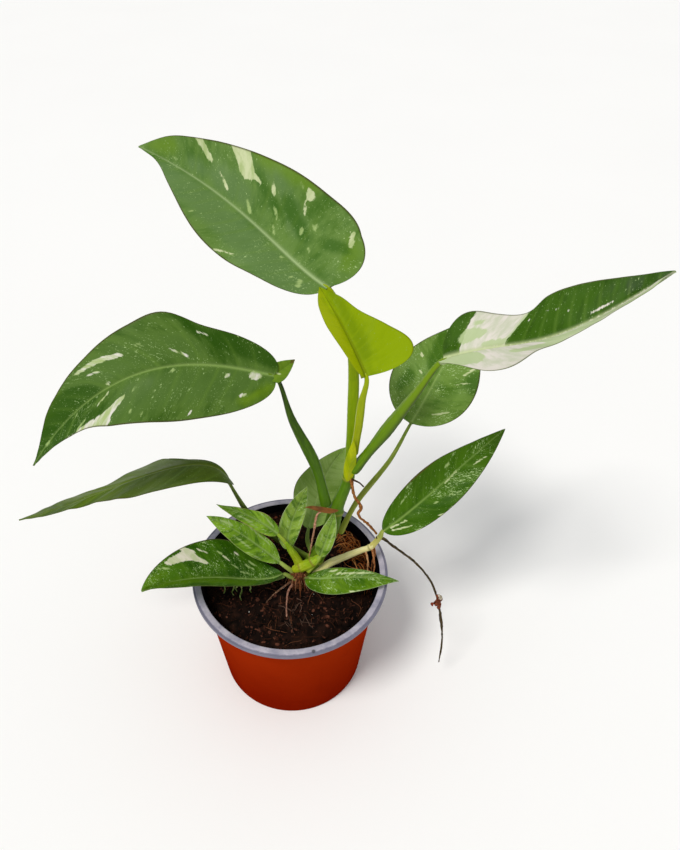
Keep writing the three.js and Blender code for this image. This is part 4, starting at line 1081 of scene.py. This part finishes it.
# Green scraps that hang under the front left leaf
SCRAPS = [
    [[-37, -15, 99.8], [-38.2, -16.4, 94], [-38.4, -16.8, 90], [-39.4, -17, 87]],
    [[-33.6, -15, 98.2], [-33, -16.5, 92], [-34.2, -16.8, 88], [-33.4, -17, 85]],
    [[-29, -15, 96.5], [-28.4, -16.6, 90], [-29.8, -17, 84.5], [-29, -17.2, 79.4]],
    [[-24.2, -14.6, 94.6], [-23, -16, 91.6], [-23.6, -16.6, 90], [-22.8, -17, 88]],
    [[-31.4, -15, 97.3], [-30.6, -16.4, 94], [-31.8, -16.7, 92], [-31.2, -17, 89]],
]


def make_crown():
    for seed, part in enumerate(CROWN, start=60):
        name = part["name"]
        woody = name == "crown_foot"
        piece = make_tube(f"{name}_skin", part["points"], part["radii"], 28, 0.5, (0, -0.6, 0.8),
                          part["channel"], part["swells"], (0.8, 0.8), 0.35 if woody else 0.1, seed=seed)
        if woody:
            material = root_material(name, (58, 30, 16), (130, 80, 48))
        else:
            material = stalk_material(name, (148, 164, 16), (118, 156, 16), (184, 192, 60), (122, 96, 44))
        place_piece(piece, material, "stem")
    tones = [(72, 36, 20), (132, 76, 44), (190, 140, 104)]
    scatter_hairs("crown_hairs", 70, tones, 61, (5.6, -4.8, 90), 4.4, 5.5)


def make_knot():
    for seed, part in enumerate(KNOT, start=80):
        make_root(f"{part['name']}_skin", part, "dark_root", [], seed, 14, 0.3, 1.1)


def make_scraps():
    for number, points in enumerate(SCRAPS):
        name = f"leaf_scrap_{number + 1}"
        part = {"name": name, "points": points, "radii": [0.55, 0.5, 0.42, 0.16],
                "tones": ((66, 98, 22), (158, 176, 104))}
        make_root(name, part, "pale_root", [], 90 + number, 10, 0.4, 0.8)


# Pot

def wall_radius(height):
    return WALL_BASE_RADIUS + (WALL_TOP_RADIUS - WALL_BASE_RADIUS) * height / (RIM_TOP - RIM_DEPTH)


def rounded(profile, radii, steps=5):
    """A profile with each corner rounded to its own radius"""
    points = [np.array(profile[0], float)]
    for before, corner, after, radius in zip(profile, profile[1:], profile[2:], radii):
        corner = np.array(corner, float)
        start = corner + unit(np.array(before, float) - corner) * radius
        end = corner + unit(np.array(after, float) - corner) * radius
        for t in np.linspace(0, 1, steps):
            points.append((1 - t) ** 2 * start + 2 * (1 - t) * t * corner + t * t * end)
    points.append(np.array(profile[-1], float))
    return np.array(points)


def make_pot():
    """The pot turned from its profile, with drain holes cut through its floor"""
    under = RIM_TOP - RIM_DEPTH
    band = RIM_TOP - RIM_STEP
    outline = [
        (0, 0), (wall_radius(0), 0), (wall_radius(under), under), (RIM_RADIUS, under), (RIM_RADIUS, band),
        (RIM_RADIUS - 1.3, band), (RIM_RADIUS - 1.7, RIM_TOP), (RIM_INNER_RADIUS, RIM_TOP),
        (wall_radius(under - 1) - WALL_THICKNESS, under - 1),
        (wall_radius(FLOOR_THICKNESS) - WALL_THICKNESS, FLOOR_THICKNESS), (0, FLOOR_THICKNESS),
    ]
    profile = rounded(outline, [1.2, 0.4, 0.5, 0.5, 0.3, 0.25, 0.6, 0.8, 0.6])
    rings = profile[1:-1]
    points, faces = turned(rings[:, :1], rings[:, 1:], POT_SIDES, profile[0][1], profile[-1][1])
    pot = make_object("pot_shell", points, faces)
    cutters = []
    for i in range(DRAIN_COUNT):
        angle = 2 * math.pi * (i + 0.5) / DRAIN_COUNT
        centre = (DRAIN_CIRCLE * MM * math.cos(angle), DRAIN_CIRCLE * MM * math.sin(angle), 0)
        bpy.ops.mesh.primitive_cylinder_add(vertices=32, radius=DRAIN_RADIUS * MM, depth=8 * MM,
                                            location=centre)
        cutters.append(bpy.context.object)
    for cutter in cutters:
        drill = pot.modifiers.new("drain", "BOOLEAN")
        drill.object = cutter
        drill.solver = "EXACT"
    bpy.context.view_layer.update()
    drilled = bpy.data.meshes.new_from_object(pot.evaluated_get(bpy.context.evaluated_depsgraph_get()))
    pot.modifiers.clear()
    pot.data = drilled
    for cutter in cutters:
        bpy.data.objects.remove(cutter)
    drilled.set_sharp_from_angle(angle=math.radians(40))
    place_piece(pot, pot_wall_material(), "pot_plastic", "pot")
    drilled.materials.append(pot_rim_material())
    drilled.materials.append(pot_lining_material())
    for face in drilled.polygons:
        radius = math.hypot(face.center.x, face.center.y) / MM
        height = face.center.z / MM
        inside = height > FLOOR_THICKNESS / 2 and radius < wall_radius(height) - WALL_THICKNESS / 2
        if height > under - 0.01 and radius > RIM_INNER_RADIUS - 0.1:
            face.material_index = 1
        elif height > under - 0.5 or inside:
            face.material_index = 2


def pot_wall_material():
    """Terracotta-coloured plastic, brighter below the rim than at the foot"""
    s = Shader("pot_wall", Roughness=0.45, Specular_IOR_Level=0.0)
    position = s.position()
    x, y, z = s.split(position)
    clouds = s.noise(position, 24, 4, 0.6)
    drawn = s.noise(s.vector(x, y, s.times(z, 0.08)), 120, 2)
    height = s.add(z, s.swing(clouds, 0.05))
    s.colour = s.mix(s.step(0.0, RIM_TOP * MM, height), (122, 22, 2), (158, 44, 8))
    s.paint(s.step(0.45, 0.65, clouds, (0.0, 0.35)), (136, 30, 2))
    s.paint(s.step(0.6, 0.75, drawn, (0.0, 0.12)), (110, 18, 0))
    s.set("Base Color", s.colour)
    s.bump(clouds, 0.1, 0.0003)
    return s.material


def pot_rim_material():
    """The rim: black plastic with a lilac painted sky reflection, scuffed and a little dusty"""
    s = Shader("pot_rim", Roughness=0.35, Specular_IOR_Level=0.3)
    position = s.position()
    dust = s.noise(position, 60, 5, 0.65)
    scuff = s.noise(position, 420, 4, 0.7)
    # Painted reflection: the rim is black plastic, and its lilac tones stand for the sky mirrored in it;
    # the dust noise mixes two of them.
    s.colour = s.mix(s.step(0.35, 0.65, dust), (140, 138, 156), (186, 180, 192))
    s.paint(s.step(0.66, 0.74, scuff), (84, 80, 90))
    x, y = s.split(position)[:2]
    radius = s.math("SQRT", s.add(s.times(x, x), s.times(y, y)))
    # A darker tone of the painted reflection on the lower outer band, its inner edge ragged.
    jittered = s.add(radius, s.swing(scuff, 0.0012))
    outer = s.step((RIM_RADIUS - 1.9) * MM, (RIM_RADIUS - 1.2) * MM, jittered, (0.0, 0.8))
    s.paint(outer, (92, 92, 112))
    nick = [part * MM for part in RIM_NICK]
    off_nick = s.node("ShaderNodeVectorMath", {0: position, 1: nick}, 1, operation="DISTANCE")
    s.paint(s.step(1.5 * MM, 0.6 * MM, off_nick, (0.0, 0.85)), (52, 50, 58))
    s.set("Base Color", s.colour)
    s.set("Roughness", s.step(0.3, 0.7, dust, (0.3, 0.5)))
    s.bump(scuff, 0.2, 0.0002)
    return s.material


def pot_lining_material():
    s = Shader("pot_lining", Roughness=0.6, Specular_IOR_Level=0.0)
    position = s.position()
    dust = s.noise(position, 90, 5, 0.65)
    s.set("Base Color", s.mix(s.step(0.5, 0.75, dust), (8, 8, 11), (26, 20, 18)))
    return s.material


# Soil

def soil_height(x, y):
    """The uneven top of the soil"""
    clods = value_noise(x, y, 11, 3) * 1.6 + value_noise(x, y, 4.7, 4) * 1.5
    crumbs = np.abs(value_noise(x, y, 2.1, 5) - 0.5) * 1.8 + np.abs(value_noise(x, y, 1.0, 6) - 0.5) * 1.0
    back = smooth_step(RISE_START, RISE_END, y)
    wall = wall_radius(SOIL_LEVEL) - WALL_THICKNESS
    sink = SOIL_SINK * smooth_step(SINK_START, wall, np.hypot(x, y)) * (1 - 0.8 * back)
    return SOIL_LEVEL - SOIL_DROP + clods + crumbs - sink + SOIL_RISE * back


def make_soil():
    floor = SOIL_LEVEL - SOIL_DEPTH
    edge, skirt = (wall_radius(level) - WALL_THICKNESS - 0.15 for level in (SOIL_LEVEL, floor))
    radius = edge * np.linspace(0, 1, SOIL_RINGS + 1)[1:, None] ** 0.8
    turn = turns(SOIL_SIDES)
    height = soil_height(radius * np.cos(turn), radius * np.sin(turn))
    radius = np.vstack([radius, [[skirt]]])
    height = np.vstack([height, np.full(SOIL_SIDES, floor)])
    middle = soil_height(np.zeros(1), np.zeros(1))[0]
    points, faces = turned(radius, height, SOIL_SIDES, middle, floor)
    tone = np.clip(value_noise(points[:, 0], points[:, 1], 3.0, 8) * 0.7, 0, 1)
    marks = np.stack([tone, tone * 0, tone * 0], -1)
    bed = make_object("soil_bed", points, [face[::-1] for face in faces], {"mark": marks})
    tones = [(9, 6, 5), (24, 15, 11), (40, 23, 16), (66, 38, 26)]
    place_piece(bed, crumb_material("soil_earth", tones), "soil", "soil")


# Crumbs, fibres and hairs

class Bunch:
    """Many small bodies that end up in one piece, each with its own tone"""

    def __init__(self):
        self.points, self.faces, self.marks = [], [], []
        self.count = 0

    def add(self, points, faces, tone):
        self.points.append(points)
        self.faces.extend([corner + self.count for corner in face] for face in faces)
        self.marks.append(np.tile([tone, 0, 0], (len(points), 1)))
        self.count += len(points)

    def add_thread(self, place, thick, sides, up, tone):
        """A thin thread along a route, with its radius at each point"""
        steps = len(place)
        east, north = frames_along(place, np.array(up))
        turn = turns(sides)[:, None]
        rings = east[:, None] * np.cos(turn) + north[:, None] * np.sin(turn)
        rings = place[:, None] + thick[:, None, None] * rings
        faces = grid_faces(steps, sides, 0, True)[:, ::-1].tolist()
        ends = [list(range(sides)), list(range(steps * sides - 1, (steps - 1) * sides - 1, -1))]
        self.add(rings.reshape(-1, 3), faces + ends, tone)

    def finish(self, name, tones, flat_from=None):
        marks = {"mark": np.vstack(self.marks)}
        piece = make_object(name, np.vstack(self.points), self.faces, marks, flat_from)
        place_piece(piece, crumb_material(f"{name}_tone", tones), "soil")


def round_lump():
    """The corners and faces of a regular solid with twenty faces"""
    golden = (1 + 5 ** 0.5) / 2
    corners = np.array([[i, golden * j, 0] for i in (-1, 1) for j in (-1, 1)])
    corners = unit(np.vstack([corners, corners[:, [2, 0, 1]], corners[:, [1, 2, 0]]]))
    faces = []
    for a, b, c in itertools.combinations(range(12), 3):
        first, second, third = corners[[a, b, c]]
        if max(np.linalg.norm(side) for side in (first - second, second - third, first - third)) < 1.1:
            outward = np.dot(np.cross(second - first, third - first), first) > 0
            faces.append((a, b, c) if outward else (c, b, a))
    return corners, faces


def somewhere(random, centre, radius):
    """A random place in a circle"""
    angle, far = random.random() * 2 * math.pi, radius * random.random() ** 0.5
    return centre[0] + far * math.cos(angle), centre[1] + far * math.sin(angle)


def scatter(name, count, size, tones, seed, centre=(0, 0), radius=None, flatness=0.45):
    """Small rough lumps lying on the soil, all in one piece"""
    random = np.random.default_rng(seed)
    edge = wall_radius(SOIL_LEVEL) - WALL_THICKNESS - 1.5
    radius = edge if radius is None else radius
    corners, faces = round_lump()
    bunch = Bunch()
    for _ in range(count):
        x, y = somewhere(random, centre, radius)
        if math.hypot(x, y) > edge:
            continue
        span = size[0] + (size[1] - size[0]) * random.random() ** 2.2
        stretch = span * np.array([1, 0.2 + 0.65 * random.random(), flatness * (0.3 + random.random())])
        shape = corners * (0.75 + 0.5 * random.random((12, 1))) * stretch / 2
        turn, lean = random.random() * 2 * math.pi, (random.random() - 0.5) * 1.1
        cos, sin = math.cos(lean), math.sin(lean)
        shape = shape @ np.array([[1, 0, 0], [0, cos, -sin], [0, sin, cos]])
        cos, sin = math.cos(turn), math.sin(turn)
        shape = shape @ np.array([[cos, -sin, 0], [sin, cos, 0], [0, 0, 1]])
        ground = soil_height(np.array([x]), np.array([y]))[0]
        bunch.add(shape + np.array([x, y, ground + span * 0.08]), faces, random.random())
    bunch.finish(name, tones, flat_from=0)


def scatter_fibres(name, count, tones, seed, centre=(0, 0), radius=50.0, heading=None, lift=0.6,
                   span=(6, 20)):
    """Thin bent fibres lying on the soil, all in one piece"""
    random = np.random.default_rng(seed)
    bunch = Bunch()
    steps = 9
    for _ in range(count):
        start = somewhere(random, centre, radius)
        way = random.random() * 2 * math.pi if heading is None else heading + random.normal() * 0.35
        length = span[0] + (span[1] - span[0]) * random.random() ** 1.5
        ways = way + np.cumsum(random.normal(size=steps) * 0.28)
        track = np.cumsum(np.stack([np.cos(ways), np.sin(ways)], -1), axis=0) * length / steps + start
        if np.hypot(*track.T).max() > wall_radius(SOIL_LEVEL) - WALL_THICKNESS - 0.8:
            continue
        arch = np.sin(np.linspace(0.1, math.pi - 0.1, steps)) * lift * (0.3 + 2 * random.random())
        height = soil_height(track[:, 0], track[:, 1]) + 0.1 + arch
        height = np.convolve(np.pad(height, 1, mode="edge"), np.ones(3) / 3, mode="valid")
        thick = (0.1 + 0.14 * random.random()) * np.array([0.3, *np.ones(steps - 2), 0.3])
        bunch.add_thread(np.column_stack([track, height]), thick, 4, (0.0, 0.0, 1.0), random.random())
    bunch.finish(name, tones)


def scatter_hairs(name, count, tones, seed, centre, radius, drop):
    """Short dead roots that hang round the foot of the crown down to the soil"""
    random = np.random.default_rng(seed)
    bunch = Bunch()
    steps = 8
    t = np.linspace(0, 1, steps)
    for _ in range(count):
        way = random.random() * 2 * math.pi
        start = np.array(centre) + [math.cos(way) * radius * 0.8, math.sin(way) * radius * 0.8, 0]
        start[2] += (random.random() - 0.4) * drop
        out = radius * (0.2 + 1.3 * random.random() ** 2)
        sway = np.cumsum(random.normal(size=steps)) * 0.28
        x = start[0] + math.cos(way) * out * t ** 0.7 - math.sin(way) * sway
        y = start[1] + math.sin(way) * out * t ** 0.7 + math.cos(way) * sway
        ground = soil_height(x, y) + 0.15
        z = np.maximum(start[2] + (ground[-1] - start[2]) * t ** 1.4, ground)
        thick = (0.16 + 0.22 * random.random()) * np.linspace(1, 0.5, steps)
        aside = (math.cos(way + 1.5), math.sin(way + 1.5), 0.2)
        bunch.add_thread(np.column_stack([x, y, z]), thick, 5, aside, random.random())
    bunch.finish(name, tones)


# Floor, lights and camera

def make_stage():
    bpy.ops.mesh.primitive_plane_add(size=FLOOR_SIZE, location=(0, 0, 0))
    floor = bpy.context.object
    floor.name = "floor"
    s = Shader("floor_paint", Roughness=0.7)
    s.set("Base Color", s.mix(s.noise(s.position(), 4, 2), (246, 246, 245), (249, 249, 248)))
    floor.data.materials.append(s.material)


def make_lights():
    """A pale sky, and a broad lamp from above at the front left"""
    world = bpy.data.worlds.new("studio")
    world.use_nodes = True
    sky = world.node_tree.nodes["Background"]
    sky.inputs["Color"].default_value = SKY_COLOUR
    sky.inputs["Strength"].default_value = SKY_STRENGTH
    bpy.context.scene.world = world
    data = bpy.data.lights.new("key_light", "SUN")
    data.energy = LAMP_STRENGTH
    data.angle = math.radians(LAMP_SPREAD)
    data.color = LAMP_COLOUR
    lamp = bpy.data.objects.new("key_light", data)
    bpy.context.scene.collection.objects.link(lamp)
    lamp.rotation_euler = [math.radians(angle) for angle in LAMP_TURN]


def make_camera():
    data = bpy.data.cameras.new("photo_camera")
    data.lens = FOCAL_PIXELS * SENSOR / FRAME_HEIGHT
    data.sensor_width = SENSOR
    data.shift_x = CENTRE_SHIFT / FRAME_HEIGHT
    data.clip_start = 0.01
    camera = bpy.data.objects.new("photo_camera", data)
    bpy.context.scene.collection.objects.link(camera)
    camera.location = [value * MM for value in CAMERA_PLACE]
    camera.rotation_euler = (math.radians(CAMERA_TILT), 0, 0)
    bpy.context.scene.camera = camera


# The plant, its pot and what lies on the soil
for shape in [*LEAVES, *SCALES]:
    shape.update({**PLAIN_SHAPE, **shape})
    shape["rib"] = Midrib(shape["midrib"])
for number, shape in enumerate(LEAVES, start=1):
    make_blade(shape, number)
    make_petiole(shape, number)
make_stems()
make_roots()
for number, shape in enumerate(SCALES, start=30):
    make_scale(shape, number)
make_pot()
make_soil()
make_crown()
make_knot()
scatter("soil_chips", 4200, (0.5, 3.0),
        [(8, 5, 4), (20, 12, 8), (34, 18, 12), (56, 30, 21), (96, 58, 44)], 21)
scatter("back_chips", 420, (0.8, 3.2), [(30, 14, 10), (74, 34, 24), (120, 66, 48)], 29, (-16, 34), 17.0)
scatter("perlite_bits", 14, (0.8, 2.0), [(170, 166, 158), (214, 212, 206)], 22, flatness=0.8)
scatter_fibres("soil_fibres", 150, [(34, 20, 14), (70, 40, 26), (120, 76, 52)], 23)
scatter_fibres("root_hairs", 16, [(52, 36, 28), (108, 84, 72)], 28, (0, -21), 11.0, -1.3, 0.5, (5, 15))
scatter_fibres("coir_tuft", 230, [(110, 50, 16), (170, 92, 40), (222, 156, 92)], 24,
               (38, 24), 13.0, 0.1, 3.0)
scatter_fibres("coir_side", 110, [(96, 44, 16), (150, 80, 34), (196, 130, 76)], 25,
               (47, 8), 8.0, -0.9, 2.4)
make_scraps()
scatter_fibres("pale_threads", 7, [(150, 130, 110), (206, 196, 180)], 27,
               (-19, 28), 8.0, None, 2.0, (6, 14))
make_stage()
make_lights()
make_camera()
bpy.context.scene.view_settings.view_transform = "Standard"
